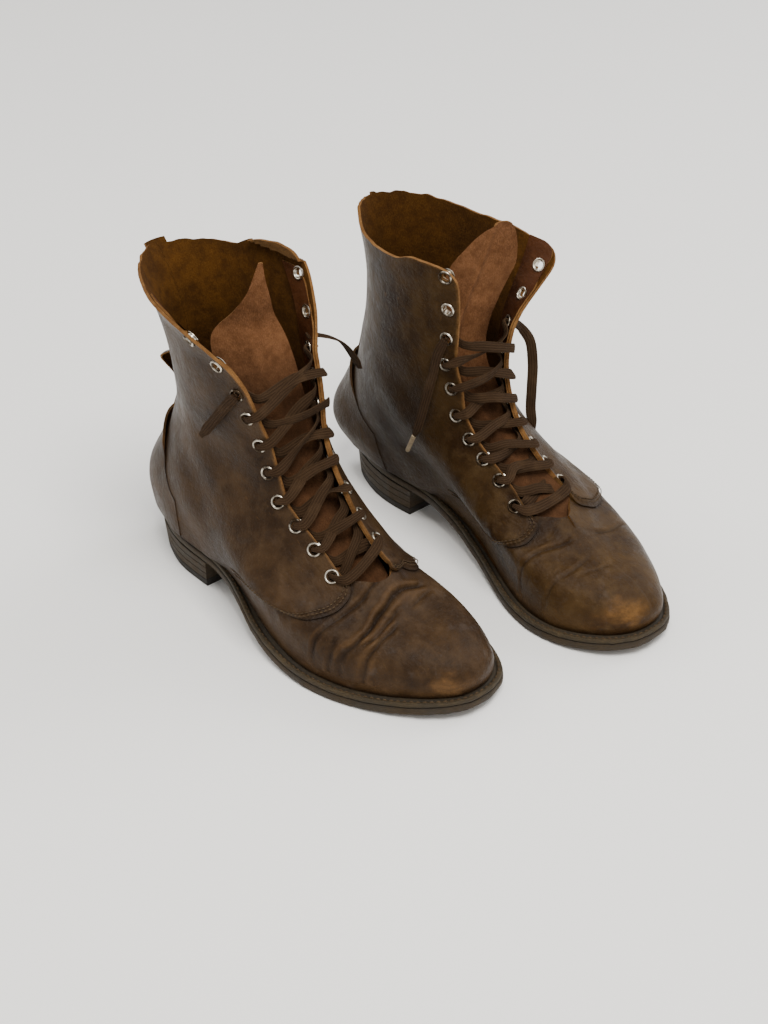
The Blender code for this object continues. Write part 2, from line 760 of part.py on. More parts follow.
def crossing(side, row, lift):
    """From the outside of one eyelet over its facing's edge to inside the next, opposite."""
    over = facing_edge(side, row - 0.25, LACE_OVER_EDGE)
    under = facing_edge(-side, row - 0.72, LACE_INSIDE)
    middle = (over + under) / 2 + tongue_normal(row_v(row - 0.5)) * lift
    return [over, middle, under, lace_turn(-side, row - 1, LACE_INSIDE), lace_turn(-side, row - 1, LACE_OUTSIDE)]


def strand(side, lift):
    """One half of the lace, from inside the lowest eyelet on a side to the third row."""
    start = [lace_turn(side, ROWS, LACE_INSIDE)]
    first = facing_edge(side, ROWS - 0.3, LACE_INSIDE)
    second = facing_edge(-side, ROWS - 0.75, LACE_INSIDE)
    middle = (first + second) / 2 + tongue_normal(row_v(ROWS - 0.5)) * (lift + 1.6)
    start += [first, middle, second]
    start += [lace_turn(-side, ROWS - 1, LACE_INSIDE), lace_turn(-side, ROWS - 1, LACE_OUTSIDE)]
    here = -side
    for row in range(ROWS - 1, 3, -1):
        start += crossing(here, row, lift)
        here = -here
    return start


def tube(name, points, radius, boot_parent, collection, material_name, resolution=2):
    """A round cord with filled caps along a run of points."""
    curve = bpy.data.curves.new(name, "CURVE")
    curve.dimensions = "3D"
    curve.bevel_depth = radius * MM
    curve.bevel_resolution = resolution
    curve.use_fill_caps = True
    line = curve.splines.new("POLY")
    line.points.add(len(points) - 1)
    for point, place in zip(line.points, points):
        point.co = (*(place * MM), 1)
    curve.materials.append(material(material_name))
    obj = bpy.data.objects.new(name, curve)
    obj.parent = boot_parent
    collection.objects.link(obj)
    return obj


def make_lace(boot):
    """The laced run: both halves joined by the bar across the lowest row."""
    lateral = strand(LATERAL, LACE_CROSSING)
    medial = strand(MEDIAL, -LACE_CROSSING)
    bar = [lace_turn(LATERAL, ROWS, LACE_OUTSIDE), lace_turn(MEDIAL, ROWS, LACE_OUTSIDE)]
    edge = [facing_edge(LATERAL, ROWS, LACE_OVER_EDGE), facing_edge(MEDIAL, ROWS, LACE_OVER_EDGE)]
    points = [*lateral[::-1], bar[0], *edge, bar[1], *medial]
    path = smooth_path(points, LACE_STEP)
    obj = tube("right_lace", path, LACE_RADIUS, boot.base, boot.parts, "lace_cotton", 0)
    boot.made.append(obj)


# Hinges of the pieces that move, each given by a point on its axis, in mm.


def fold_axis(side):
    """A point and a direction on the line the flap folds about, clear of its outer face."""
    v = np.linspace(FOLD_V + 0.016, 1.0, 12)
    edge = layer(side * fold_u(side, v), v, np.full(12, QUARTER[1]))
    along = edge[-1] - edge[0]
    along /= np.linalg.norm(along)
    middle_v = (FOLD_V + 1) / 2
    normal = outward(side * float(fold_u(side, np.array([middle_v]))[0]), middle_v)
    normal -= along * (normal @ along)
    normal /= np.linalg.norm(normal)
    centre = (edge[0] + edge[-1]) / 2
    centre += normal * max((edge - centre) @ normal)
    return centre, along


def tongue_hinge():
    """The tongue swings about its sewn root, at the throat."""
    root = tongue_surface(np.array([[0.0]]), np.array([[TONGUE_LOW_V]]))[0, 0]
    return root


def make_right_boot(parts, cutters):
    boot = Boot(parts, cutters)
    for side in (LATERAL, MEDIAL):
        name = f"flap_{SIDE_NAME[side]}"
        boot.hinges[name] = boot.empty(f"right_{name}_hinge", fold_axis(side)[0], boot.base)
    boot.hinges["tongue"] = boot.empty("right_tongue_hinge", tongue_hinge(), boot.base)
    make_sole(boot)
    make_vamp(boot)
    make_toe_puff(boot)
    for side in (LATERAL, MEDIAL):
        name = SIDE_NAME[side]
        hinge = f"flap_{name}"
        make_quarter(boot, side)
        make_flap(boot, side)
        make_stay(boot, side, f"stay_{name}", LOWEST_ROW_V - 0.03, FOLD_V - 0.006, None, QUARTER_ROWS)
        make_stay(boot, side, f"flap_stay_{name}", FOLD_V + 0.03, 0.985, hinge, FLAP_ROWS)
        make_eyelets(boot, side, f"eyelets_{name}", QUARTER_ROWS, None)
        make_eyelets(boot, side, f"flap_eyelets_{name}", FLAP_ROWS, hinge)
    make_backstay(boot)
    heel_wrap(boot, "heel_stiffener", 7, 0.38, STIFFENER, "sole_leather")
    heel_wrap(boot, "heel_pocket", 8, 0.415, POCKET, "upper_leather")
    make_tongue(boot)
    make_lace(boot)
    return boot


def mirror_boot(boot):
    """The left boot: each piece's finished mesh again, under a mirrored empty."""
    left = boot.empty("left_boot", (0, 0, 0), None)
    left.scale.y = -1
    hinges = {None: left}
    for name, hinge in boot.hinges.items():
        hinges[name] = boot.empty(f"left_{name}_hinge", hinge.location / MM, left)
    bpy.context.view_layer.update()
    graph = bpy.context.evaluated_depsgraph_get()
    hinge_of = {hinge: name for name, hinge in boot.hinges.items()}
    for obj in boot.made:
        mesh = bpy.data.meshes.new_from_object(obj.evaluated_get(graph))
        name = obj.name.replace("right_", "left_")
        copy = new_object(name, mesh, None, boot.parts, hinges[hinge_of.get(obj.parent)])
        copy.location = obj.location
    return left


def make_tails(parts, bases):
    for name, points in TAILS.items():
        base = bases[name.split("_")[0]]
        tube(name, smooth_path(points, TAIL_STEP), LACE_RADIUS, base, parts, "lace_cotton")
    for name, tail in AGLETS.items():
        end = np.array(TAILS[tail][-1], float)
        along = end - np.array(TAILS[tail][-2], float)
        along /= np.linalg.norm(along)
        start = end + along * 0.3
        points = [start, start + along * AGLET_LENGTH]
        tube(name, points, AGLET_RADIUS, bases[name.split("_")[0]], parts, "aglet_plastic")


def build():
    clear_scene()
    scene = bpy.context.scene
    parts = bpy.data.collections.new("lace_up_boots")
    cutters = bpy.data.collections.new("cutters")
    scene.collection.children.link(parts)
    scene.collection.children.link(cutters)
    boot = make_right_boot(parts, cutters)
    left = mirror_boot(boot)
    make_tails(parts, {"right": boot.base, "left": left})
    boot.base.location = Vector((*RIGHT_PLACE, 0)) * MM
    left.location = Vector((*LEFT_PLACE, 0)) * MM


build()
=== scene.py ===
"""The looks of a pair of worn brown leather lace-up boots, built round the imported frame.

Shapes are designed in one boot frame, in millimetres, as in the CAD source: x runs from the heel
to the toe, +y is the inner (medial) side of the right boot and z is up. A Boot turns them into
the row frame, mirrored for the left one.
"""

import json
import math

import bpy
import numpy as np
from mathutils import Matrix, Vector


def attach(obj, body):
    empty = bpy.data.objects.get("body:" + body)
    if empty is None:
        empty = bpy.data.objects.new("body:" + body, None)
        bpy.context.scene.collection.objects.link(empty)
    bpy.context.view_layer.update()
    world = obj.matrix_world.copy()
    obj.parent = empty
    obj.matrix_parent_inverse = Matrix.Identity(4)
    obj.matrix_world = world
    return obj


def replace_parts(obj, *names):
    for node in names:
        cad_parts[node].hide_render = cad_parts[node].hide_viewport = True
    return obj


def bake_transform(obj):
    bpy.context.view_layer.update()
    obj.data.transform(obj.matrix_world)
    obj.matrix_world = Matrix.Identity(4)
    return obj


MM = 0.001
LATERAL, MEDIAL = -1, 1
SIDE_NAME = {LATERAL: "lateral", MEDIAL: "medial"}
PLACE = {"right": (-154.4, -78.7), "left": (-126.2, 79.0)}

# The upper's surface over u and v, as in the CAD source, with each worn boot's own shaft.
FRONT_V = (0, 0.06, 0.13, 0.21, 0.30, 0.40, 0.50, 0.60, 0.69, 0.77, 0.88, 1.0)
FRONT_LOW = ((289, 14), (292, 25), (285.5, 36), (266, 44), (237, 49), (207, 68), (179, 91), (155, 116))
FRONT_TOP = {
    "right": ((145, 143), (147, 172), (147, 204), (145, 235)),
    "left": ((145, 143), (147, 172), (155, 202), (166, 230)),
}
BACK_V = (0, 0.13, 0.30, 0.45, 0.60, 0.77, 0.90, 1.0)
BACK_XZ = {
    "right": ((-14, 35), (-17.5, 57), (-4, 85), (4, 108), (11, 132), (15, 164), (6, 204), (-16, 235)),
    "left": ((-11, 34), (-20, 58), (-12, 85), (0, 108), (8, 132), (13, 163), (11, 199), (-1, 232)),
}
FEATHER_X = (-20, 50, 90, 130, 180, 220, 260, 300)
FEATHER_Z = (33.6, 33.6, 30.5, 22, 11.6, 9.6, 11.6, 16.5)
WIDTH_V = (0, 0.2, 0.4, 0.6, 0.8, 1.0)
WIDTH_S = (0, 0.15, 0.35, 0.55, 0.72, 0.87, 1.0)
LATERAL_WIDTH = (
    (35, 42, 36, 50, 60, 59, 51), (36, 43, 40, 51, 58, 53, 42), (30, 37, 38, 38, 38, 33, 29),
    (29, 33, 35, 33, 32, 29, 27), (31, 36, 38, 37, 34, 32, 30), (35, 41, 43, 42, 40, 36, 34),
)
MEDIAL_WIDTH = (
    (30, 34, 24, 28, 48, 59, 54), (33, 40, 30, 33, 48, 55, 47), (30, 38, 37, 37, 38, 35, 30),
    (29, 33, 35, 33, 32, 29, 27), (31, 36, 38, 37, 34, 32, 30), (35, 41, 43, 42, 40, 36, 34),
)
LEAN = (0, 0, 3, 6, 3, 0)
CAD_PLACE_Y = {"right": -77.5, "left": 77.5}
TOE_SWING = {"right": 19.0, "left": 6.5}
CAD_TOE_SWING = 6.0

VAMP = (-2.2, 0.0)
TOE_PUFF = (-4.4, -2.8)
QUARTER = (1.2, 3.4)
STAY = (-0.1, 1.1)
STIFFENER = (3.7, 4.3)
POCKET = (4.5, 6.2)
BACKSTAY = (3.6, 5.2)
EDGE_V = 0.004
V_LENGTH = 258.0  # about how long one step of v is on the shaft, in mm
U_LENGTH = 235.0  # and one step of u round the vamp
# The quarter's front edge: back along the welt, forward to a rounded corner, up to the facing.
QUARTER_FRONT_V = (0.0, 0.07, 0.13, 0.175, 0.198, 0.206, 0.214, 0.226, 0.25, 0.29, 0.34, 0.37, 0.40)
QUARTER_FRONT_U = (0.605, 0.553, 0.515, 0.478, 0.43, 0.39, 0.355, 0.33, 0.30, 0.25, 0.195, 0.165, 0.14)
VAMP_TOP_U = (0.0, 0.12, 0.2, 0.27, 0.33, 0.40, 0.48, 0.53, 0.57, 0.64)
VAMP_TOP_V = (0.385, 0.385, 0.375, 0.335, 0.285, 0.255, 0.235, 0.175, 0.10, 0.03)
ROWS = 10
EDGE_TO_EYELET = 8.5
# Each facing's eyelets, from the collar down: u and v on the surface, and how far the worn
# facing there has been pushed out of it, in mm.
EYELETS = {
    ("right", LATERAL): (
        (0.455, 0.920, 2), (0.395, 0.862, 1), (0.352, 0.790, 0), (0.320, 0.736, 0), (0.282, 0.673, 0),
        (0.285, 0.602, 0), (0.304, 0.524, 0), (0.275, 0.473, 0), (0.245, 0.428, 0), (0.220, 0.377, 0),
    ),
    ("right", MEDIAL): (
        (0.436, 0.972, 5), (0.412, 0.893, 3), (0.388, 0.815, 0), (0.345, 0.760, 0), (0.290, 0.705, 0),
        (0.240, 0.652, -2), (0.205, 0.600, -3), (0.180, 0.540, -3), (0.150, 0.490, -3),
        (0.135, 0.438, -2),
    ),
    ("left", LATERAL): (
        (0.318, 0.925, 11), (0.298, 0.842, 3), (0.275, 0.768, -4), (0.258, 0.710, -5),
        (0.245, 0.655, -5), (0.240, 0.600, -6), (0.240, 0.545, -7), (0.240, 0.490, -7),
        (0.245, 0.437, -7), (0.235, 0.390, -6),
    ),
    ("left", MEDIAL): (
        (0.356, 0.972, 0), (0.336, 0.876, 1), (0.322, 0.787, 1), (0.314, 0.722, 1), (0.284, 0.667, 1),
        (0.300, 0.592, 0), (0.290, 0.532, 0), (0.270, 0.488, 0), (0.246, 0.442, 0), (0.232, 0.386, 0),
    ),
}
PUSH_REACH = 44.0  # how far behind the eyelets a facing's push fades out, in mm
# Where a facing's top has folded over: how far down it starts, how far back round the collar it
# reaches, its turn in degrees and the length it is spread over, in mm.
SPLAY = {("right", LATERAL): (0.72, 0.90, 58, 46)}
HEEL_BREAST_X = 71.0
SOLE_OVERHANG = 6.5
HEEL_OVERHANG = 1.0
OUTSOLE_THICK = 6.0
WELT_THICK = 3.0
SOLE_GAP = 0.3
HEEL_TAPER = 0.93
HEEL_MIDDLE = np.array([28.0, 0.0])
FINE = 1.0  # grid density while trying things


def spline(knots, values, at):
    """A natural cubic spline through values, which may have several columns, at the knots."""
    knots = np.asarray(knots, float)
    values = np.asarray(values, float)
    columns = values.reshape(len(knots), -1)
    step = np.diff(knots)
    system = np.eye(len(knots))
    right = np.zeros_like(columns)
    for i in range(1, len(knots) - 1):
        system[i, i - 1 : i + 2] = step[i - 1], 2 * (step[i - 1] + step[i]), step[i]
        slopes = np.diff(columns[i - 1 : i + 2], axis=0) / step[i - 1 : i + 1, None]
        right[i] = 6 * (slopes[1] - slopes[0])
    bend = np.linalg.solve(system, right)
    at = np.asarray(at, float)
    t = np.clip(at.ravel(), knots[0], knots[-1])
    i = np.clip(np.searchsorted(knots, t, side="right") - 1, 0, len(knots) - 2)
    a = ((knots[i + 1] - t) / step[i])[:, None]
    b = 1 - a
    square = (step[i] ** 2)[:, None]
    found = a * columns[i] + b * columns[i + 1]
    found += ((a**3 - a) * bend[i] + (b**3 - b) * bend[i + 1]) * square / 6
    return found.reshape(at.shape + values.shape[1:])


def feather(x):
    return spline(FEATHER_X, FEATHER_Z, x)


def lean(v):
    return spline(WIDTH_V, LEAN, v)


def half_width(table, v, s):
    across = np.stack([spline(WIDTH_S, row, s.ravel()) for row in table])
    weights = spline(WIDTH_V, np.eye(len(WIDTH_V)), v.ravel())
    return (weights * across.T).sum(1).reshape(s.shape)


def smooth(t):
    t = np.clip(t, 0, 1)
    return t * t * (3 - 2 * t)


def noise(p, size, seed=0):
    """Smooth noise from -1 to 1 at points, with blobs of about this size in mm."""
    p = np.asarray(p, float) / size + 100.5 + seed * 7.31
    cell = np.floor(p).astype(np.int64)
    f = p - cell
    f = f * f * (3 - 2 * f)
    total = np.zeros(p.shape[:-1])
    for corner in range(8):
        d = np.array([corner & 1, (corner >> 1) & 1, corner >> 2])
        k = (cell + d) @ np.array([374761, 668265, 914727]) + seed * 144269
        k = (k ^ (k >> 7)) * 1274126177 & 0xFFFFFFF
        k = (k ^ (k >> 11)) * 974711 & 0xFFFFFFF
        weight = np.prod(np.where(d == 1, f, 1 - f), axis=-1)
        total += weight * ((k >> 8) % 4096 / 2047.5 - 1)
    return total


def cloud(p, size, seed=0, layers=4):
    return sum(noise(p, size / 2**k, seed + k) / 2**k for k in range(layers)) / 1.6


def mix(first, second, start, end, t):
    return ((end - t) * first + (t - start) * second) / (end - start)


def smooth_path(points, step):
    """A centripetal Catmull-Rom curve through the points, cut into pieces of about one step."""
    points = np.asarray(points, float)
    ends = np.vstack([2 * points[0] - points[1], points, 2 * points[-1] - points[-2]])
    path = []
    for four in zip(ends[:-3], ends[1:-2], ends[2:-1], ends[3:]):
        chords = np.linalg.norm(np.diff([p[:3] for p in four], axis=0), axis=1)
        knots = np.concatenate([[0], np.cumsum(np.sqrt(chords))])
        count = max(1, round(float(chords[1]) / step))
        for t in np.linspace(knots[1], knots[2], count, endpoint=False):
            level = four
            for reach in (1, 2):
                level = [
                    mix(level[k], level[k + 1], knots[k], knots[k + reach], t)
                    for k in range(4 - reach)
                ]
            path.append(mix(level[0], level[1], knots[1], knots[2], t))
    return np.array([*path, points[-1]])


class Boot:
    """One boot's worn shape, and the way from its frame to the row frame."""

    def __init__(self, name):
        self.name = name
        self.seed = {"right": 3, "left": 11}[name]
        self.place = PLACE[name]
        self.flip = name == "left"
        self.front = FRONT_LOW + FRONT_TOP[name]
        self.back = BACK_XZ[name]
        self.line = {side: self.eyelet_line(side) for side in (LATERAL, MEDIAL)}

    def world(self, points):
        """Points in mm in the boot's frame, as metres in the row frame."""
        points = np.array(points, float)
        if self.flip:
            points[..., 1] *= -1
        points[..., 0] += self.place[0]
        points[..., 1] += self.place[1]
        return points * MM

    def body(self, part="boot"):
        return f"{self.name}_{part}"

    def plain(self, u, v):
        """The upper's surface before its facings curled over."""
        u, v = np.broadcast_arrays(np.asarray(u, float), np.asarray(v, float))
        u = (u + 1) % 2 - 1
        front = spline(FRONT_V, self.front, v)
        back = spline(BACK_V, self.back, v)
        s = (1 + np.cos(np.pi * u)) / 2
        x = back[..., 0] + (front[..., 0] - back[..., 0]) * s
        straight = back[..., 1] + (front[..., 1] - back[..., 1]) * s
        along = feather(x) + (back[..., 1] - feather(back[..., 0])) * (1 - s)
        along += (front[..., 1] - feather(front[..., 0])) * s
        z = straight + (along - straight) * smooth(1 - v / 0.6)
        width = np.where(u > 0, half_width(MEDIAL_WIDTH, v, s), half_width(LATERAL_WIDTH, v, s))
        y = np.sign(u) * width * np.abs(np.sin(np.pi * u)) ** (0.80 + 0.15 * v)
        y += TOE_SWING[self.name] * np.clip((x - 80) / 200, 0, 1) ** 1.5 * (1 - v) + lean(v)
        return np.stack([x, y, z], -1)

    @staticmethod
    def normal_of(surface, u, v):
        du, dv = 0.004, 0.004
        u, v = np.broadcast_arrays(np.asarray(u, float), np.asarray(v, float))
        along_u = surface(u + du, v) - surface(u - du, v)
        along_v = surface(u, np.minimum(v + dv, 1)) - surface(u, np.maximum(v - dv, 0))
        normal = np.cross(along_u, along_v)
        return normal / np.linalg.norm(normal, axis=-1, keepdims=True)

    def upper(self, u, v):
        u, v = np.broadcast_arrays(np.asarray(u, float), np.asarray(v, float))
        u = (u + 1) % 2 - 1
        points = self.plain(u, v)
        over = np.maximum(v - 1, 0)[..., None] * np.array([0, 0, V_LENGTH])
        points = points + over
        for side in (LATERAL, MEDIAL):
            points = points + self.push(side, u, v)
            if (self.name, side) not in SPLAY:
                continue
            start, reach_u, turn, length = SPLAY[self.name, side]
            rise = np.clip((np.abs(u) - 0.2) / (reach_u - 0.2), 0, 1) ** 0.8
            past = np.clip(v - start - (1.0 - start) * rise, 0, 1) * 205 * (u * side > 0)
            if not past.any():
                continue
            bend = math.radians(turn) / length
            angle = np.minimum(bend * past, math.radians(turn) * 1.15)
            out = self.normal_of(self.plain, u, np.minimum(v, 1))
            points = points + out * ((1 - np.cos(angle)) / bend)[..., None]
            points = points - np.array([0.42, 0, 0.9]) * ((angle - np.sin(angle)) / bend)[..., None]
        return points

    def outward(self, u, v):
        return self.normal_of(self.upper, u, v)

    def layer(self, u, v, offset):
        offset = np.asarray(offset, float)
        return self.upper(u, v) + self.outward(u, v) * offset[..., None]

    # Facings.

    def eyelet_line(self, side):
        """v, u and push at knots along the eyelets, from below the lowest to the collar."""
        rows = np.array(EYELETS[self.name, side])[::-1]
        first, last = rows[0], rows[-1]
        below = (first[0], first[1] - 0.06, 0)
        above = last + (last - rows[-2]) * (1.0 - last[1]) / (last[1] - rows[-2][1])
        rows = np.vstack([below, rows, above + (0, 1e-6, 0)])
        v = np.linspace(rows[0, 1], 1.0, 300)
        u = np.interp(v, rows[:, 1], rows[:, 0])
        out = np.interp(v, rows[:, 1], rows[:, 2])
        soft = np.hanning(25) / np.hanning(25).sum()
        u = np.convolve(np.pad(u, 12, "edge"), soft, "valid")
        out = np.convolve(np.pad(out, 12, "edge"), soft, "valid")
        ahead = self.plain(side * u + 0.01, v) - self.plain(side * u - 0.01, v)
        spacing = np.linalg.norm(ahead, axis=-1) / 0.02
        return v, u, out, spacing, self.normal_of(self.plain, side * u, v)

    def push(self, side, u, v):
        """How the facing has been bent out of (or into) the surface."""
        if not ((u * side > 0) & (np.abs(u) < 0.8)).any():
            return 0.0
        line_v, line_u, out, spacing, normal = self.line[side]
        amount = np.interp(v, line_v, out) * (u * side > 0)
        away = (np.abs(u) - np.interp(v, line_v, line_u)) * np.interp(v, line_v, spacing)
        t = away / PUSH_REACH
        fade = np.where(t < 0, 1 - 2 * t, np.clip(1 - t, 0, 1) ** 2)
        fade = np.where(amount > 0, fade, np.clip(fade, 0, 1))
        outward = np.stack([np.interp(v, line_v, normal[:, k]) for k in range(3)], -1)
        return outward * (amount * fade)[..., None]

    def row_v(self, row, side=LATERAL):
        rows = [facts[1] for facts in EYELETS[self.name, side]]
        return float(np.interp(row, range(1, ROWS + 1), rows))

    def eyelet_u(self, side, v):
        line_v, line_u = self.line[side][:2]
        return side * np.interp(v, line_v, line_u)

    def beside_eyelet(self, side, v, distance):
        u = np.asarray(self.eyelet_u(side, v), float)
        top = np.minimum(v, 1)
        reach = self.plain(u + side * 0.01, top) - self.plain(u - side * 0.01, top)
        return u + side * distance / (np.linalg.norm(reach, axis=-1) / 0.02)

    def front_u(self, side, v):
        """The quarter's front edge, over the vamp and then along the facing."""
        low = EYELETS[self.name, side][-1][1]
        facing = np.abs(self.beside_eyelet(side, np.maximum(v, low), -EDGE_TO_EYELET))
        over_vamp = np.interp(v, QUARTER_FRONT_V, QUARTER_FRONT_U)
        blend = smooth((v - 0.345) / 0.05)
        return over_vamp * (1 - blend) + facing * blend

    def row_frame(self, side, row):
        v = self.row_v(row, side)
        u = float(self.eyelet_u(side, v))
        high, low = v + 0.02, v - 0.02
        along = self.upper(self.eyelet_u(side, high), high)
        along = along - self.upper(self.eyelet_u(side, low), low)
        normal = self.outward(u, v)
        along = along - normal * (along @ normal)
        return self.upper(u, v), normal, along / np.linalg.norm(along)

    def fold(self, side):
        """The row-frame start and end of the flap's bend, from the record's hinge."""
        name = f"{self.name}_flap_{SIDE_NAME[side]}_fold"
        joint = next(j for j in frame["joints"] if j["name"] == name)
        axis = Vector(joint["axis"]).normalized()
        centre = Vector(joint["pos_m"])
        rise = axis.cross(Vector((0, 1, 0))).normalized()
        if rise.z < 0:
            rise = -rise
        return centre - rise * 0.007, centre + rise * 0.006


# Meshes.


def mesh_object(name, vertices, faces, materials, face_slots=None, sharp=35):
    mesh = bpy.data.meshes.new(name)
    mesh.from_pydata(np.asarray(vertices, float).tolist(), [], faces)
    for found in materials:
        mesh.materials.append(found)
    if face_slots is not None:
        mesh.polygons.foreach_set("material_index", np.asarray(face_slots, np.int32))
    mesh.shade_smooth()
    if sharp:
        mesh.set_sharp_from_angle(angle=math.radians(sharp))
    obj = bpy.data.objects.new(name, mesh)
    bpy.context.scene.collection.objects.link(obj)
    return obj


def attribute(obj, name, values):
    found = obj.data.attributes.new(name, "FLOAT", "POINT")
    found.data.foreach_set("value", np.asarray(values, np.float32).ravel())


def shell(boot, name, outer, inner, materials, keep=None, wear=None, dirt=None, dark_rim=None):
    """A sheet of leather between two grids of points: its grain side, flesh side and cut edge."""
    rows, columns = outer.shape[:2]
    index = np.arange(rows * columns).reshape(rows, columns)
    quads = np.stack([index[:-1, :-1], index[1:, :-1], index[1:, 1:], index[:-1, 1:]], -1)
    kept = np.ones(quads.shape[:2], bool) if keep is None else keep
    quads = quads[kept]
    if boot.flip:
        quads = quads[:, ::-1]
    count = rows * columns
    edges = np.concatenate([quads[:, [k, (k + 1) % 4]] for k in range(4)])
    known = set(map(tuple, edges.tolist()))
    rim = [(a, b) for a, b in known if (b, a) not in known]
    sides = [(b, a, a + count, b + count) for a, b in rim]
    faces = [*quads.tolist(), *(quads[:, ::-1] + count).tolist(), *sides]
    dark = np.zeros(rows * columns, bool) if dark_rim is None else dark_rim.ravel()
    slots = [0] * len(quads) + [1] * len(quads) + [0 if dark[a] and dark[b] else 2 for a, b in rim]
    points = boot.world(np.concatenate([outer.reshape(-1, 3), inner.reshape(-1, 3)]))
    obj = mesh_object(f"{boot.name}_{name}", points, faces, materials, slots)
    for label, values in (("wear", wear), ("dirt", dirt)):
        if values is None:
            values = np.zeros((rows, columns))
        attribute(obj, label, np.concatenate([values.ravel(), values.ravel()]))
    return obj


def lathe(profile, frame_of, segments=28):
    """Points and faces of a turned ring: profile is (radius, height) in mm, frame_of its place."""
    centre, normal, along = frame_of
    across = np.cross(normal, along)
    turn = 2 * np.pi * np.arange(segments) / segments
    circle = np.cos(turn)[:, None] * along + np.sin(turn)[:, None] * across
    points = np.concatenate([centre + normal * h + circle * r for r, h in profile])
    faces = []
    rings = len(profile)
    for k in range(rings):
        low, high = k * segments, (k + 1) % rings * segments
        for m in range(segments):
            n = (m + 1) % segments
            faces.append((low + m, low + n, high + n, high + m))
    return points, faces


def joined(boot, name, parts, materials, slots=None, sharp=35):
    """One mesh from several (points, faces) in the boot's frame."""
    points, faces, face_slots, start = [], [], [], 0
    for i, (p, f) in enumerate(parts):
        points.append(p)
        for face in f:
            face = [k + start for k in face]
            faces.append(face[::-1] if boot.flip else face)
            face_slots.append(slots[i] if slots else 0)
        start += len(p)
    points = boot.world(np.concatenate(points))
    return mesh_object(f"{boot.name}_{name}", points, faces, materials, face_slots, sharp)


def transported(points, hints, weights):
    """Tangents, flat normals and widths' directions along a path, pulled towards the hints."""
    tangent = np.gradient(points, axis=0)
    tangent /= np.linalg.norm(tangent, axis=1, keepdims=True)
    normal = np.zeros_like(points)
    current = hints[0] - tangent[0] * (hints[0] @ tangent[0])
    for i, t in enumerate(tangent):
        current = current - t * (current @ t)
        current /= np.linalg.norm(current)
        hint = hints[i] - t * (hints[i] @ t)
        size = np.linalg.norm(hint)
        if size > 0.35 and weights[i] > 0:
            hint = hint / size * (1 if hint @ current >= 0 else -1)
            current = current * (1 - weights[i]) + hint * weights[i]
            current /= np.linalg.norm(current)
        normal[i] = current
    return tangent, normal, np.cross(tangent, normal)


def ribbon(boot, name, points, hints, weights, width, thick, material):
    """A flat woven lace along a path, with along and across attributes: along in metres, across as a
    fraction of its width.
    """
    _, normal, side = transported(points, hints, weights)
    turn = 2 * np.pi * np.arange(14) / 14
    c, s = np.cos(turn), np.sin(turn)
    shape = np.stack([np.sign(c) * np.abs(c) ** 0.8, np.sign(s) * np.abs(s) ** 0.75], -1) / 2
    width = np.broadcast_to(width, len(points))[:, None]
    thick = np.broadcast_to(thick, len(points))[:, None]
    rings = points[:, None] + side[:, None] * (shape[:, 0] * width)[..., None]
    rings = rings + normal[:, None] * (shape[:, 1] * thick)[..., None]
    n, m = len(points), len(turn)
    verts = np.concatenate([rings.reshape(-1, 3), points[:1], points[-1:]])
    faces = []
    for i in range(n - 1):
        for k in range(m):
            j = (k + 1) % m
            faces.append((i * m + k, (i + 1) * m + k, (i + 1) * m + j, i * m + j))
    for k in range(m):
        j = (k + 1) % m
        faces.append((n * m, k, j))
        faces.append((n * m + 1, (n - 1) * m + j, (n - 1) * m + k))
    obj = joined(boot, name, [(verts, faces)], [material], sharp=60)
    length = np.concatenate([[0], np.cumsum(np.linalg.norm(np.diff(points, axis=0), axis=1))])
    along = np.concatenate([np.repeat(length, m), [0, length[-1]]])
    around = np.concatenate([np.tile(shape[:, 0], n), [0, 0]])
    attribute(obj, "along", along * MM)
    attribute(obj, "across", around)
    return obj


# Materials.


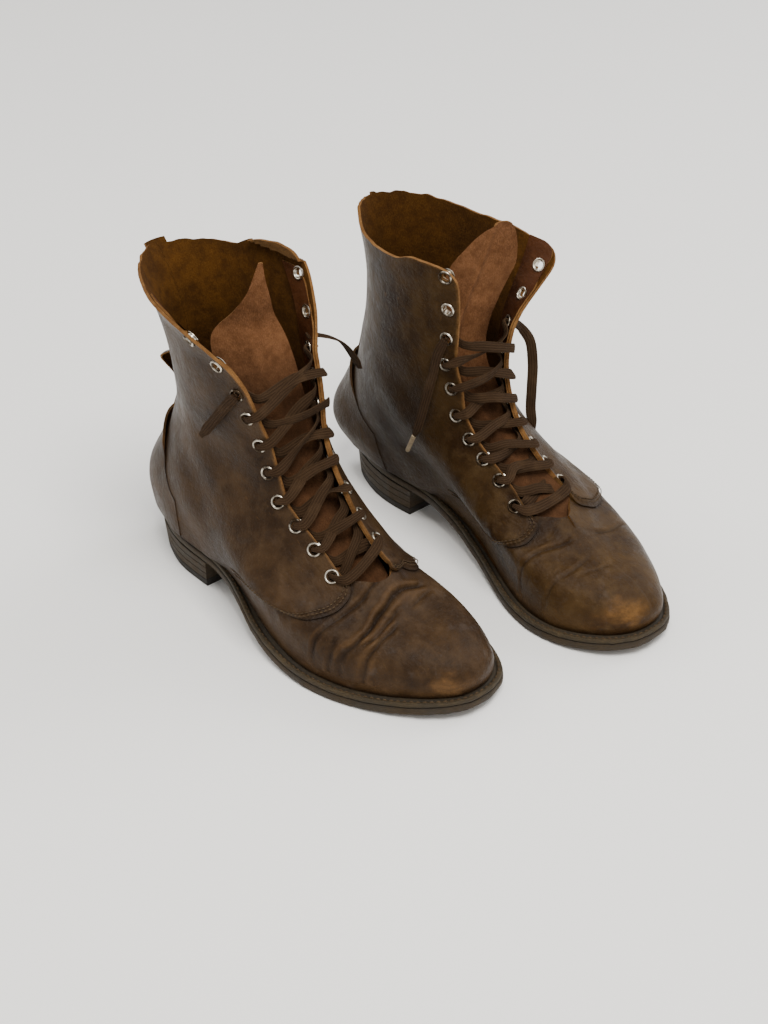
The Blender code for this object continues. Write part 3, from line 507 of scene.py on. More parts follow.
class Shader:
    """A short way to write a node tree: each call makes a node and returns its output."""

    def __init__(self, name):
        self.material = bpy.data.materials.new(name)
        self.material.use_nodes = True
        self.tree = self.material.node_tree
        self.surface = self.tree.nodes["Principled BSDF"]
        self.where = self.tree.nodes.new("ShaderNodeTexCoord").outputs["Object"]

    def node(self, kind, output=0, settings=None, **inputs):
        made = self.tree.nodes.new("ShaderNode" + kind)
        for key, value in (settings or {}).items():
            setattr(made, key, value)
        for key, value in inputs.items():
            self.put(made.inputs[key.replace("_", " ")], value)
        return made.outputs[output]

    def put(self, socket, value):
        if isinstance(value, bpy.types.NodeSocket):
            self.tree.links.new(value, socket)
        elif isinstance(value, tuple) and len(value) == 3 and socket.type == "RGBA":
            socket.default_value = (*value, 1)
        else:
            socket.default_value = value

    def math(self, operation, a, b=0.0, clamp=False):
        made = self.tree.nodes.new("ShaderNodeMath")
        made.operation = operation
        made.use_clamp = clamp
        self.put(made.inputs[0], a)
        self.put(made.inputs[1], b)
        return made.outputs[0]

    def fit(self, value, low, high, to_low=0.0, to_high=1.0):
        ends = {"From_Min": low, "From_Max": high, "To_Min": to_low, "To_Max": to_high}
        return self.node("MapRange", Value=value, **ends)

    def noise(self, scale, detail=4.0, rough=0.55, stretch=None):
        where = self.where
        if stretch:
            where = self.node("Mapping", Vector=self.where, Scale=stretch)
        return self.node("TexNoise", Vector=where, Scale=scale, Detail=detail, Roughness=rough)

    def cells(self, scale, feature="F1", vector=None):
        settings = {"feature": feature}
        return self.node("TexVoronoi", settings=settings, Vector=vector or self.where, Scale=scale)

    def bent(self, scale, reach):
        """The object coordinates, pushed about by noise so that cells on them look torn."""
        push = self.node("TexNoise", 1, Vector=self.where, Scale=scale, Detail=3.0)
        made = self.tree.nodes.new("ShaderNodeVectorMath")
        made.operation = "MULTIPLY_ADD"
        self.put(made.inputs[0], push)
        self.put(made.inputs[1], (reach, reach, reach))
        self.put(made.inputs[2], self.where)
        return made.outputs[0]

    def blend(self, a, b, factor, kind="MIX"):
        made = self.tree.nodes.new("ShaderNodeMix")
        made.data_type = "RGBA"
        made.blend_type = kind
        self.put(made.inputs[0], factor)
        self.put(made.inputs[6], a)
        self.put(made.inputs[7], b)
        return made.outputs[2]

    def named(self, name):
        return self.node("Attribute", 2, {"attribute_name": name})

    def bump(self, height, strength, distance, under=None):
        inputs = {"Height": height, "Strength": strength, "Distance": distance}
        if under is not None:
            inputs["Normal"] = under
        return self.node("Bump", **inputs)

    def finish(self, colour, roughness, normal=None, **more):
        self.put(self.surface.inputs["Base Color"], colour)
        self.put(self.surface.inputs["Roughness"], roughness)
        if normal is not None:
            self.put(self.surface.inputs["Normal"], normal)
        for key, value in more.items():
            self.put(self.surface.inputs[key.replace("_", " ")], value)
        return self.material


def grain_leather(name, dark, mid, light, raw):
    """Oiled, scuffed grain leather: wear shows the raw leather; dirt and painted shade darken the
    creases.
    """
    m = Shader(name)
    large = m.noise(26, 4)
    blotch = m.noise(95, 5, 0.6)
    fine = m.noise(900, 4, 0.7)
    colour = m.blend(dark, mid, m.fit(large, 0.35, 0.65))
    colour = m.blend(colour, light, m.fit(blotch, 0.48, 0.74, 0, 0.42))
    colour = m.blend(colour, (0.012, 0.006, 0.003), m.math("MULTIPLY", m.fit(blotch, 0.46, 0.28), 0.40))
    scuff = m.noise(60, 8, 0.72, (1, 1, 2.2))
    # Grey-blue patches low on the boot: partly wax bloom, partly a painted sheen.
    low = m.fit(m.node("SeparateXYZ", 2, Vector=m.where), 0.10, 0.035)
    bloom_and_sheen = m.math("MULTIPLY", m.fit(m.noise(70, 5, 0.65), 0.57, 0.70, 0, 0.14), low)
    colour = m.blend(colour, (0.120, 0.112, 0.112), bloom_and_sheen)
    rubbed = m.math("MULTIPLY", m.named("wear"), m.fit(scuff, 0.30, 0.62), True)
    specks = m.fit(m.noise(420, 6, 0.8), 0.60, 0.68)
    specks = m.math("MULTIPLY", specks, m.fit(large, 0.3, 0.7, 0.05, 0.22))
    scratch = m.fit(m.noise(150, 3, 0.5, (1, 9, 1)), 0.67, 0.72, 0, 0.13)
    scratch = m.math("MAXIMUM", scratch, m.fit(m.noise(170, 3, 0.5, (7, 1, 2)), 0.67, 0.72, 0, 0.12))
    bare = m.math("MAXIMUM", rubbed, m.math("MAXIMUM", specks, scratch))
    colour = m.blend(colour, raw, bare)
    # Dirt and painted shade: darker in creases, hollows and joins, with a painted shadow low on the
    # left boot's medial side.
    colour = m.blend(colour, (0.010, 0.006, 0.004), m.math("MULTIPLY", m.named("dirt"), 0.85))
    rough = m.fit(blotch, 0.3, 0.7, 0.30, 0.50)
    rough = m.math("ADD", rough, m.math("MULTIPLY", bare, 0.25))
    pores = m.fit(m.cells(1100), 0.0, 0.7)
    cracks = m.fit(m.cells(330, "DISTANCE_TO_EDGE"), 0.0, 0.06)
    normal = m.bump(pores, 0.16, 0.0005)
    normal = m.bump(cracks, 0.20, 0.0007, normal)
    craze = m.fit(m.cells(130, "DISTANCE_TO_EDGE", m.bent(40, 0.006)), 0.0, 0.09)
    normal = m.bump(craze, 0.09, 0.0009, normal)
    normal = m.bump(m.noise(110, 3, 0.5, (1, 2.6, 1)), 0.30, 0.0018, normal)
    normal = m.bump(m.noise(300, 5, 0.7), 0.45, 0.0012, normal)
    normal = m.bump(fine, 0.40, 0.0006, normal)
    normal = m.bump(blotch, 0.35, 0.0016, normal)
    return m.finish(colour, rough, normal, Specular_IOR_Level=0.10)


def suede(name, dark, mid, light, nap=0.5):
    """The napped flesh side of leather."""
    m = Shader(name)
    large = m.noise(30, 4)
    fibre = m.noise(1500, 5, 0.8, (1, 1, 0.45))
    blotch = m.noise(140, 5, 0.65)
    colour = m.blend(dark, mid, m.fit(large, 0.32, 0.66))
    colour = m.blend(colour, light, m.fit(fibre, 0.42, 0.72, 0, nap))
    colour = m.blend(colour, dark, m.fit(blotch, 0.56, 0.36, 0, 0.6))
    # Dirt and painted shade: darker in creases, hollows and joins, and low on the tongue under the
    # laces.
    colour = m.blend(colour, (0.012, 0.006, 0.003), m.math("MULTIPLY", m.named("dirt"), 0.8))
    normal = m.bump(fibre, 0.55, 0.0007)
    normal = m.bump(blotch, 0.5, 0.0018, normal)
    return m.finish(colour, 0.92, normal, Specular_IOR_Level=0.12)


def metal(name, colour, tarnish, rough, onset=0.50):
    m = Shader(name)
    spots = m.blend(m.noise(500, 4, 0.6), m.noise(110, 2), 0.75)
    tint = m.blend(colour, tarnish, m.fit(spots, onset, onset + 0.14))
    normal = m.bump(m.noise(900, 3), 0.03, 0.0002)
    return m.finish(tint, m.fit(spots, 0.4, 0.7, rough, rough + 0.25), normal, Metallic=1.0)


def woven(name, dark, light):
    """A flat plaited lace: two sets of diagonal yarns, from the along and across attributes."""
    m = Shader(name)
    along = m.math("MULTIPLY", m.named("along"), 5200.0)
    across = m.math("MULTIPLY", m.named("across"), 13.0)
    first = m.math("SINE", m.math("ADD", along, across))
    second = m.math("SINE", m.math("SUBTRACT", along, across))
    weave = m.math("MULTIPLY", first, second)
    fuzz = m.noise(2200, 4, 0.8)
    colour = m.blend(dark, light, m.fit(weave, -1.0, 1.0, 0.0, 0.75))
    colour = m.blend(colour, light, m.fit(m.noise(60, 4), 0.5, 0.75, 0, 0.7))
    colour = m.blend(colour, dark, m.fit(fuzz, 0.5, 0.3, 0, 0.8))
    normal = m.bump(weave, 0.75, 0.0005)
    normal = m.bump(fuzz, 0.4, 0.0004, normal)
    return m.finish(colour, 0.95, normal, Specular_IOR_Level=0.12)


def edge_leather(name, dark, light):
    """A cut or worn sole edge: thick leather with fibres along it, darker in its grooves and joins."""
    m = Shader(name)
    fibre = m.noise(260, 6, 0.75, (1, 1, 7))
    blotch = m.noise(70, 5, 0.6)
    colour = m.blend(dark, light, m.fit(fibre, 0.36, 0.68))
    colour = m.blend(colour, dark, m.fit(blotch, 0.58, 0.40, 0, 0.75))
    chip = m.fit(m.noise(330, 6, 0.8), 0.62, 0.70, 0, 0.55)
    colour = m.blend(colour, tuple(min(1.0, 2.0 * c) for c in light), chip)
    # Darker in the grooves and along the joins between pieces.
    colour = m.blend(colour, (0.010, 0.007, 0.004), m.math("MULTIPLY", m.named("dirt"), 0.85))
    normal = m.bump(fibre, 0.5, 0.0012)
    normal = m.bump(m.noise(900, 4, 0.7), 0.3, 0.0006, normal)
    return m.finish(colour, m.fit(blotch, 0.3, 0.7, 0.55, 0.85), normal, Specular_IOR_Level=0.3)


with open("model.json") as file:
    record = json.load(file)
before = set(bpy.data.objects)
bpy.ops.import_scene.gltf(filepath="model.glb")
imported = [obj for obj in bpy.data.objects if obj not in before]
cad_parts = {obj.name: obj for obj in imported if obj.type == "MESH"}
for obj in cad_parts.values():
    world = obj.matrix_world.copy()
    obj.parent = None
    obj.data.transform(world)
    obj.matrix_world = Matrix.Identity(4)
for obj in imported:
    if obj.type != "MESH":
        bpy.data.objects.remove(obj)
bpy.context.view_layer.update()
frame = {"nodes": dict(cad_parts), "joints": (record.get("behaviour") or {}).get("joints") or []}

UPPER = {
    "right": grain_leather(
        "upper_right", (0.018, 0.0088, 0.0034), (0.043, 0.0228, 0.0092), (0.074, 0.044, 0.0215),
        (0.16, 0.080, 0.028),
    ),
    "left": grain_leather(
        "upper_left", (0.018, 0.0076, 0.0018), (0.048, 0.0252, 0.0078), (0.086, 0.052, 0.0215),
        (0.17, 0.083, 0.025),
    ),
}
INSIDE = suede("flesh_side", (0.026, 0.009, 0.0008), (0.064, 0.024, 0.0022), (0.14, 0.064, 0.012))
CUT = suede("cut_edge", (0.085, 0.036, 0.010), (0.165, 0.078, 0.024), (0.29, 0.155, 0.058), 0.7)
TONGUE = suede("tongue_suede", (0.066, 0.025, 0.008), (0.125, 0.053, 0.020), (0.25, 0.118, 0.058), 0.6)
FACING = grain_leather(
    "facing_lining", (0.024, 0.008, 0.003), (0.055, 0.019, 0.007), (0.085, 0.034, 0.013),
    (0.16, 0.07, 0.026),
)
SOLE_EDGE = edge_leather("sole_edge", (0.020, 0.013, 0.0055), (0.056, 0.034, 0.014))
WELT_TOP = edge_leather("welt_leather", (0.022, 0.015, 0.0065), (0.066, 0.044, 0.019))
SOLE_BASE = edge_leather("sole_bottom", (0.05, 0.032, 0.018), (0.12, 0.080, 0.046))
RUBBER = edge_leather("heel_rubber", (0.010, 0.008, 0.006), (0.030, 0.024, 0.016))
PATINA = metal("aged_nickel", (0.62, 0.57, 0.48), (0.045, 0.030, 0.018), 0.28, 0.42)
NICKEL = metal("nickel", (0.62, 0.58, 0.50), (0.20, 0.15, 0.09), 0.22)
LACE = woven("lace", (0.018, 0.0085, 0.0035), (0.072, 0.041, 0.020))
THREAD = woven("thread", (0.03, 0.018, 0.010), (0.10, 0.068, 0.038))
TIP = edge_leather("aglet", (0.20, 0.15, 0.09), (0.42, 0.34, 0.22))
LEATHER = {name: [UPPER[name], INSIDE, CUT] for name in UPPER}


# Wear and shape details.


def crease(points, line, depth, width, seed):
    """One flex crease: a valley along points (y, x) of the vamp, with a roll on each side."""
    x, y = points[..., 0], points[..., 1]
    across, along = np.array(line, float).T
    d = x - spline(across, along, y) - 1.3 * noise(points, 11, seed)
    ends = smooth((y - across[0] + 5) / 9) * smooth((across[-1] + 5 - y) / 9)
    fade = ends * (0.8 + 0.35 * noise(points, 13, seed + 5)) * (points[..., 2] > 18)
    width = 0.78 * width
    valley = -0.85 * depth * np.exp(-((d / width) ** 2))
    roll = 0.52 * depth * np.exp(-(((d + 2.3 * width) / (1.4 * width)) ** 2))
    roll += 0.30 * depth * np.exp(-(((d - 2.4 * width) / (1.7 * width)) ** 2))
    return (valley + roll) * fade


CREASES = {
    "right": (
        (((-50, 204), (-30, 208), (-12, 210), (8, 209), (26, 205)), 1.5, 1.7, 1),
        (((-42, 224), (-27, 229), (-9, 225), (12, 221), (36, 217)), 2.2, 1.9, 2),
        (((-36, 230), (-24, 235), (-8, 232), (6, 229)), 1.5, 1.6, 3),
        (((-43, 236), (-34, 240), (-20, 240), (-5, 238)), 1.8, 1.7, 4),
        (((-44, 244), (-36, 246), (-28, 247)), 1.1, 1.5, 5),
        (((-52, 214), (-44, 217), (-36, 218)), 1.2, 1.6, 6),
        (((14, 232), (26, 228), (38, 224)), 1.0, 1.7, 7),
    ),
    "left": (
        (((14, 224), (24, 220), (38, 213), (52, 209)), 1.2, 1.6, 8),
        (((12, 240), (24, 241), (40, 239), (50, 235)), 1.2, 1.7, 9),
        (((18, 213), (27, 212), (34, 209)), 0.9, 1.4, 10),
        (((4, 251), (18, 250), (30, 247)), 0.8, 1.5, 11),
        (((-40, 222), (-24, 226), (-6, 226)), 1.2, 1.8, 12),
    ),
}


def relief(boot, points, u, v):
    """How far the worn leather stands out from the plain surface, in mm."""
    seed = boot.seed
    found = 0.9 * cloud(points, 46, seed)
    for facts in CREASES[boot.name]:
        found = found + crease(points, *facts)
    x, z = points[..., 0], points[..., 2]
    ankle = np.exp(-(((z - 112) / 34) ** 2)) * smooth((x - 30) / 60)
    warped = z + 0.55 * x + 9 * noise(points, 42, seed + 20)
    found = found + 1.2 * ankle * np.sin(warped / 7.2) * (0.6 + 0.6 * noise(points, 30, seed + 21))
    ball = np.exp(-(((x - 178) / 34) ** 2)) * smooth((z - 18) / 14) * smooth((86 - z) / 30)
    fine = np.sin((x * 0.9 + 0.5 * z) / 2.1 + 3.0 * noise(points, 14, seed + 22))
    found = found + 0.28 * ball * fine * (0.5 + 0.5 * noise(points, 20, seed + 23))
    if boot.name == "left":
        round_heel = np.where(u < 0, u + 2, u) - 0.86
        found = found + 8.0 * np.exp(-((round_heel / 0.13) ** 2) - ((v - 0.11) / 0.09) ** 2)
    heel = np.exp(-(((x - 55) / 34) ** 2)) * smooth((120 - z) / 50)
    slant = np.sin((z + 0.8 * x + 8 * noise(points, 30, seed + 24)) / 8.5)
    return found + 0.9 * heel * slant


def worn(boot, points, u, v):
    """Where the grain is rubbed away, and where dirt and painted shade darken the leather, from 0 to 1.
    """
    x, z = points[..., 0], points[..., 2]
    spot = {"right": (290, -2, 25), "left": (282, 26, 30)}[boot.name]
    toe = np.linalg.norm((points - np.array(spot)) / np.array([15, 19, 10]), axis=-1)
    wear = 0.8 * smooth(1.25 - toe + 0.6 * cloud(points, 12, boot.seed + 30))
    low = smooth(1.2 - (z - feather(x)) / 13) * smooth((x - 150) / 60)
    wear = np.maximum(wear, 0.40 * low * (0.5 + 0.7 * cloud(points, 18, boot.seed + 31)))
    raised = relief(boot, points, u, v)
    rolls = sum(crease(points, *facts) for facts in CREASES[boot.name])
    wear = np.maximum(wear, 0.20 * smooth((rolls - 0.2) / 0.6))
    wear = np.maximum(wear, 0.12 * smooth((raised - 1.2) / 1.4))
    # Dirt and painted shade: darker in the crease valleys, in hollows and just above the welt.
    dirt = 0.7 * smooth((-0.2 - rolls) / 0.8) + 0.4 * smooth((-0.9 - raised) / 1.4)
    dirt = dirt + 0.7 * smooth(1 - (z - feather(x)) / 4.5)
    seam = (np.abs(u) - np.interp(v, QUARTER_FRONT_V, QUARTER_FRONT_U)) * U_LENGTH
    along_seam = smooth((0.39 - v) / 0.03) * smooth((v - 0.04) / 0.10)
    dirt = np.maximum(dirt, 0.8 * np.exp(-((seam / 1.8) ** 2)) * along_seam)
    if boot.name == "left":
        # Painted shadow: darker low on the left boot's medial side, towards the heel, where the right
        # boot shades it.
        painted_shadow = smooth((168 - z) / 60) * smooth((142 - x) / 55) * (u > 0)
        dirt = np.maximum(dirt, 0.62 * painted_shadow * (0.85 + 0.3 * cloud(points, 40, 9)))
    return np.clip(wear, 0, 1), np.clip(dirt, 0, 1)


def skin(boot, u, v, layers, extra=0.0, skive=0.0):
    """Outer and inner grids of a piece of the upper, with its wear."""
    plain = boot.upper(u, v)
    out = boot.outward(u, v)
    raised = relief(boot, plain, u, v) + extra
    outer = plain + out * (layers[1] - skive * (layers[1] - QUARTER[1] - 0.45) + raised)[..., None]
    inner = plain + out * (layers[0] - skive * (layers[0] - QUARTER[1] - 0.15) + raised)[..., None]
    wear, dirt = worn(boot, plain, u, v)
    return outer, inner, wear, dirt


def near_edge(distance, reach):
    return smooth(1 - distance / reach)


def vamp_top(u):
    return np.interp(np.abs(u), VAMP_TOP_U, VAMP_TOP_V)


def make_vamp(boot):
    u = np.linspace(-0.63, 0.63, int(360 * FINE))
    t = np.linspace(0, 1, int(120 * FINE))
    v = EDGE_V + (vamp_top(u)[:, None] - EDGE_V) * t
    u = np.broadcast_to(u[:, None], v.shape)
    outer, inner, wear, dirt = skin(boot, u, v, VAMP)
    obj = shell(boot, "vamp", outer, inner, LEATHER[boot.name], None, wear, dirt)
    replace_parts(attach(obj, boot.body()), f"{boot.name}_vamp")


def make_toe_puff(boot):
    u = np.linspace(-0.23, 0.23, 40)
    t = np.linspace(0, 1, 24)
    top = 0.22 - 0.14 * (np.abs(u) / 0.23) ** 2
    v = 0.05 + (top[:, None] - 0.05) * t
    outer, inner, wear, dirt = skin(boot, np.broadcast_to(u[:, None], v.shape), v, TOE_PUFF)
    obj = shell(boot, "toe_puff", outer, inner, [SOLE_BASE] * 3, None, wear, dirt)
    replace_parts(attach(obj, boot.body()), f"{boot.name}_toe_puff")


def make_unseen(boot, node, material):
    """A piece shut inside the sole, as in the CAD but bent to the worn boot's centre line."""
    mesh = frame["nodes"][f"{boot.name}_{node}"].data.copy()
    points = np.empty(len(mesh.vertices) * 3)
    mesh.vertices.foreach_get("co", points)
    points = points.reshape(-1, 3)
    along = np.clip((points[:, 0] / MM - boot.place[0] - 80) / 200, 0, 1)
    swing = (TOE_SWING[boot.name] - CAD_TOE_SWING) * along**1.5
    shift = boot.place[1] - CAD_PLACE_Y[boot.name]
    points[:, 1] += (shift + (-swing if boot.flip else swing)) * MM
    points[:, 0] -= 3.0 * along * MM
    mesh.vertices.foreach_set("co", points.ravel())
    mesh.materials.clear()
    mesh.materials.append(material)
    obj = bpy.data.objects.new(f"{boot.name}_{node}", mesh)
    bpy.context.scene.collection.objects.link(obj)
    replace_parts(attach(obj, boot.body()), f"{boot.name}_{node}")


def collar(boot, side, u):
    """The collar's height along u, as v: cut by hand and worn unevenly."""
    across = np.stack([u * 100, np.full_like(u, side * 5.0), np.zeros_like(u)], -1)
    top = 0.993 + 0.006 * cloud(across, 14, boot.seed + 40) + 0.003 * noise(across, 3, boot.seed)
    if boot.name == "left" and side == MEDIAL:
        top = top - 0.020 * smooth((np.abs(u) - 0.45) / 0.1) * smooth((0.86 - np.abs(u)) / 0.06)
    if boot.name == "left" and side == LATERAL:
        top = top - 0.013 * smooth((0.80 - np.abs(u)) / 0.25)
    if boot.name == "right" and side == MEDIAL:
        top = top + 0.036 * smooth((0.66 - np.abs(u)) / 0.16)
        top = top - 0.012 * smooth((np.abs(u) - 0.60) / 0.1)
    if boot.name == "right" and side == LATERAL:
        top = top - 0.012 * smooth((np.abs(u) - 0.5) / 0.2)
    return top


CORNER = 14.0  # how far the facing's top corner is rounded, in mm


def side_grids(boot, side):
    """u and v over a quarter, from its front edge to the back seam, with a rounded top corner."""
    columns, rows = int(170 * FINE), int(200 * FINE)
    t = np.linspace(0, 1, columns)
    t = t + 0.10 * (np.cos(np.pi * t) - 1) / 2 + 0.05 * t * 2
    t = (t - t[0]) / (t[-1] - t[0])
    t = t ** 1.25
    knots = (0, 0.15, 0.19, 0.235, 0.30, 1.0)
    level = np.interp(np.linspace(0, 1, rows), (0, 0.10, 0.17, 0.32, 0.38, 1.0), knots)
    u_top = boot.front_u(side, np.array([1.0]))[0]
    along_top = u_top + (1 - u_top) * t
    distance = (along_top - u_top) * 240
    inside = np.clip(CORNER - distance, 0, CORNER)
    drop = CORNER - np.sqrt(np.maximum(CORNER**2 - inside**2, 0))
    top = collar(boot, side, along_top * side) - drop / V_LENGTH
    v = EDGE_V + (top[None, :] - EDGE_V) * level[:, None]
    front = boot.front_u(side, v)
    u = side * (front + (0.999 - front) * t[None, :])
    if side < 0:
        u, v = u[:, ::-1], v[:, ::-1]
    return u.T, v.T


def eyelet_holes(boot, outer, rows, side):
    """Which grid faces stay when the eyelet holes are punched."""
    middle = (outer[:-1, :-1] + outer[1:, 1:]) / 2
    keep = np.ones(middle.shape[:2], bool)
    for row in rows:
        centre = boot.row_frame(side, row)[0]
        keep &= np.linalg.norm(middle - centre, axis=-1) > 4.6
    return keep


def make_quarter(boot, side):
    u, v = side_grids(boot, side)
    from_seam = np.minimum((np.abs(u) - boot.front_u(side, v)) * 220, 9.0)
    thin = near_edge(from_seam, 7.0) * smooth((0.39 - v) / 0.03)
    outer, inner, wear, dirt = skin(boot, u, v, QUARTER, -1.0 * thin)
    outer = outer - boot.outward(u, v) * (1.3 * thin)[..., None]
    gap = np.abs(np.abs(u) - boot.front_u(side, v)) * 190
    edge = near_edge(gap, 2.5) * smooth((v - 0.36) / 0.05)
    rim = near_edge((1.0 - v) * V_LENGTH, 3.0)
    wear = np.maximum(wear, 0.75 * np.maximum(edge, rim))
    keep = eyelet_holes(boot, outer, range(1, ROWS + 1), side)
    name = SIDE_NAME[side]
    low = v < 0.42
    obj = shell(boot, f"quarter_{name}", outer, inner, LEATHER[boot.name], keep, wear, dirt, low)
    boot.body()
    boot.body(f"flap_{name}_body")
    boot.fold(side)
    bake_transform(obj)
    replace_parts(obj, f"{boot.name}_quarter_{name}", f"{boot.name}_flap_{name}")


def make_stay(boot, side):
    """The smooth strip that backs the eyelets inside each facing."""
    rows, columns = int(170 * FINE), int(26 * FINE)
    v = np.linspace(0.40, 0.985, rows)[:, None]
    t = np.linspace(0, 1, columns)
    front = np.abs(boot.beside_eyelet(side, v[:, 0], -EDGE_TO_EYELET + 0.6))
    back = np.abs(boot.beside_eyelet(side, v[:, 0], 13.5))
    distance = t * 22
    inside = np.clip(CORNER - distance, 0, CORNER)
    drop = (CORNER - np.sqrt(np.maximum(CORNER**2 - inside**2, 0))) / V_LENGTH
    v = v - drop[None, :] * smooth((v - 0.85) / 0.12)
    u = side * (front[:, None] + (back - front)[:, None] * t[None, :])
    if side < 0:
        u, v = u[:, ::-1], v[:, ::-1]
    u, v = u.T, v.T
    outer, inner, wear, dirt = skin(boot, u, v, STAY)
    keep = eyelet_holes(boot, outer, range(1, ROWS + 1), side)
    name = SIDE_NAME[side]
    obj = shell(boot, f"stay_{name}", outer, inner, [FACING, FACING, CUT], keep, wear * 0.4, dirt)
    boot.body()
    boot.body(f"flap_{name}_body")
    boot.fold(side)
    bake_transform(obj)
    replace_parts(obj, f"{boot.name}_stay_{name}", f"{boot.name}_flap_stay_{name}")


EYELET_PROFILE = (
    (3.35, 0.9), (3.42, 3.5), (3.6, 4.05), (4.0, 4.4), (4.5, 4.35), (4.92, 3.95), (5.0, 3.6),
    (4.7, 3.45), (3.85, 3.3), (3.75, 1.2), (3.75, 0.0), (4.4, -0.2), (4.85, -0.4), (4.8, -0.8),
    (4.3, -1.0), (3.8, -0.95), (3.5, -0.6), (3.38, 0.0),
)


def raised_frame(boot, side, row):
    centre, normal, along = boot.row_frame(side, row)
    v = boot.row_v(row, side)
    u = np.array([float(boot.eyelet_u(side, v))])
    lift = float(relief(boot, centre[None], u, np.array([v]))[0])
    return centre + normal * lift, normal, along


def make_eyelets(boot, side):
    name = SIDE_NAME[side]
    groups = (
        ("eyelets", range(3, ROWS + 1), boot.body()),
        ("flap_eyelets", (1, 2), boot.body(f"flap_{name}_body")),
    )
    for label, rows, body in groups:
        rings = [lathe(EYELET_PROFILE, raised_frame(boot, side, row)) for row in rows]
        obj = joined(boot, f"{label}_{name}", rings, [NICKEL, PATINA], sharp=50)
        count = len(EYELET_PROFILE)
        flange = [EYELET_PROFILE[k][1] > 3.4 for k in range(count)]
        tones = np.repeat(np.array(flange, np.int32), 28)
        obj.data.polygons.foreach_set("material_index", np.tile(tones, len(rings)))
        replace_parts(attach(obj, body), f"{boot.name}_{label}_{name}")


def make_backstay(boot):
    across = np.linspace(-0.058, 0.058, int(30 * FINE))
    v = np.linspace(0.43, 0.99, int(150 * FINE))
    u, v = np.meshgrid(1 + across, v, indexing="ij")
    loose = np.zeros_like(u)
    if boot.name == "right":
        hang = np.exp(-(((v - 0.67) / 0.062) ** 2)) * smooth((u - 0.955) / 0.09)
        loose = 17.0 * hang
    outer, inner, wear, dirt = skin(boot, u, v, BACKSTAY, loose)
    wear = np.maximum(wear, 0.5 * smooth((np.abs(u - 1) - 0.05) / 0.008))
    obj = shell(boot, "backstay", outer, inner, LEATHER[boot.name], None, wear, dirt)
    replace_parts(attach(obj, boot.body()), f"{boot.name}_backstay")


def heel_wrap(boot, name, reach, top, layers, materials, flare):
    across = np.linspace(-reach, reach, int(150 * FINE))
    height = top - (top - 0.17) * (np.abs(across) / reach) ** 2.2
    ragged = np.stack([across * 300, np.zeros_like(across), np.zeros_like(across)], -1)
    height = height + 0.010 * cloud(ragged, 9, boot.seed + 50)
    t = np.linspace(0, 1, int(80 * FINE))
    v = EDGE_V + (height[:, None] - EDGE_V) * t
    u = np.broadcast_to(1 + across[:, None], v.shape)
    open_top = flare * smooth((t[None, :] - 0.86) / 0.14)
    open_top = open_top * smooth(1.2 - np.abs(across[:, None]) / (0.6 * reach))
    thin = smooth((np.abs(across[:, None]) / reach - 0.5) / 0.35) * np.ones_like(v)
    outer, inner, wear, dirt = skin(boot, u, v, layers, open_top, thin)
    rim = smooth((t[None, :] - 0.955) / 0.04) * (1 - thin)
    wear = np.maximum(wear, 0.8 * rim)
    # Darker along the top of its thinned sides.
    dirt = np.maximum(dirt, 0.8 * smooth((t[None, :] - 0.93) / 0.06) * thin)
    obj = shell(boot, name, outer, inner, materials, None, wear, dirt)
    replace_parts(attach(obj, boot.body()), f"{boot.name}_{name}")


# The tongues.

TONGUES = {
    # centre line (x, y, z), half width, height of the lengthwise fold and turn towards the camera
    "right": (
        ((209, 4, 53), 14, 0, 0), ((188, 4, 66), 18, 0, 0), ((152, 4, 91), 19, 1, 0),
        ((128, 4, 117), 22, 2, -8), ((108, 3, 147), 24, 4, -20), ((92, 2, 176), 26, 6, -32),
        ((82, 3, 196), 24, 5, -34), ((82, 6, 207), 16, 3, -34), ((86, 9, 222), 8.5, 2, -34),
        ((86, 11, 234), 4.4, 1, -34), ((86, 13, 246), 1.4, 0, -34),
    ),
    "left": (
        ((209, 4, 53), 14, 0, 0), ((188, 3, 66), 17, 0, 0), ((152, 3, 91), 18, 1, 0),
        ((127, 8, 118), 19, 2, -4), ((113, 15, 148), 20, 3, -10), ((109, 9, 180), 22, 5, -20),
        ((112, -4, 210), 22, 5, -28), ((117, -16, 246), 20, 3, -33),
    ),
}


def tongue_top(boot, w):
    """How far up its centre line the tongue reaches at each place across it."""
    if boot.name == "right":
        return 1.0 - 0.004 * w**2  # its point comes from the half widths
    return 1.0 - 0.13 * np.abs(w) ** 2.4


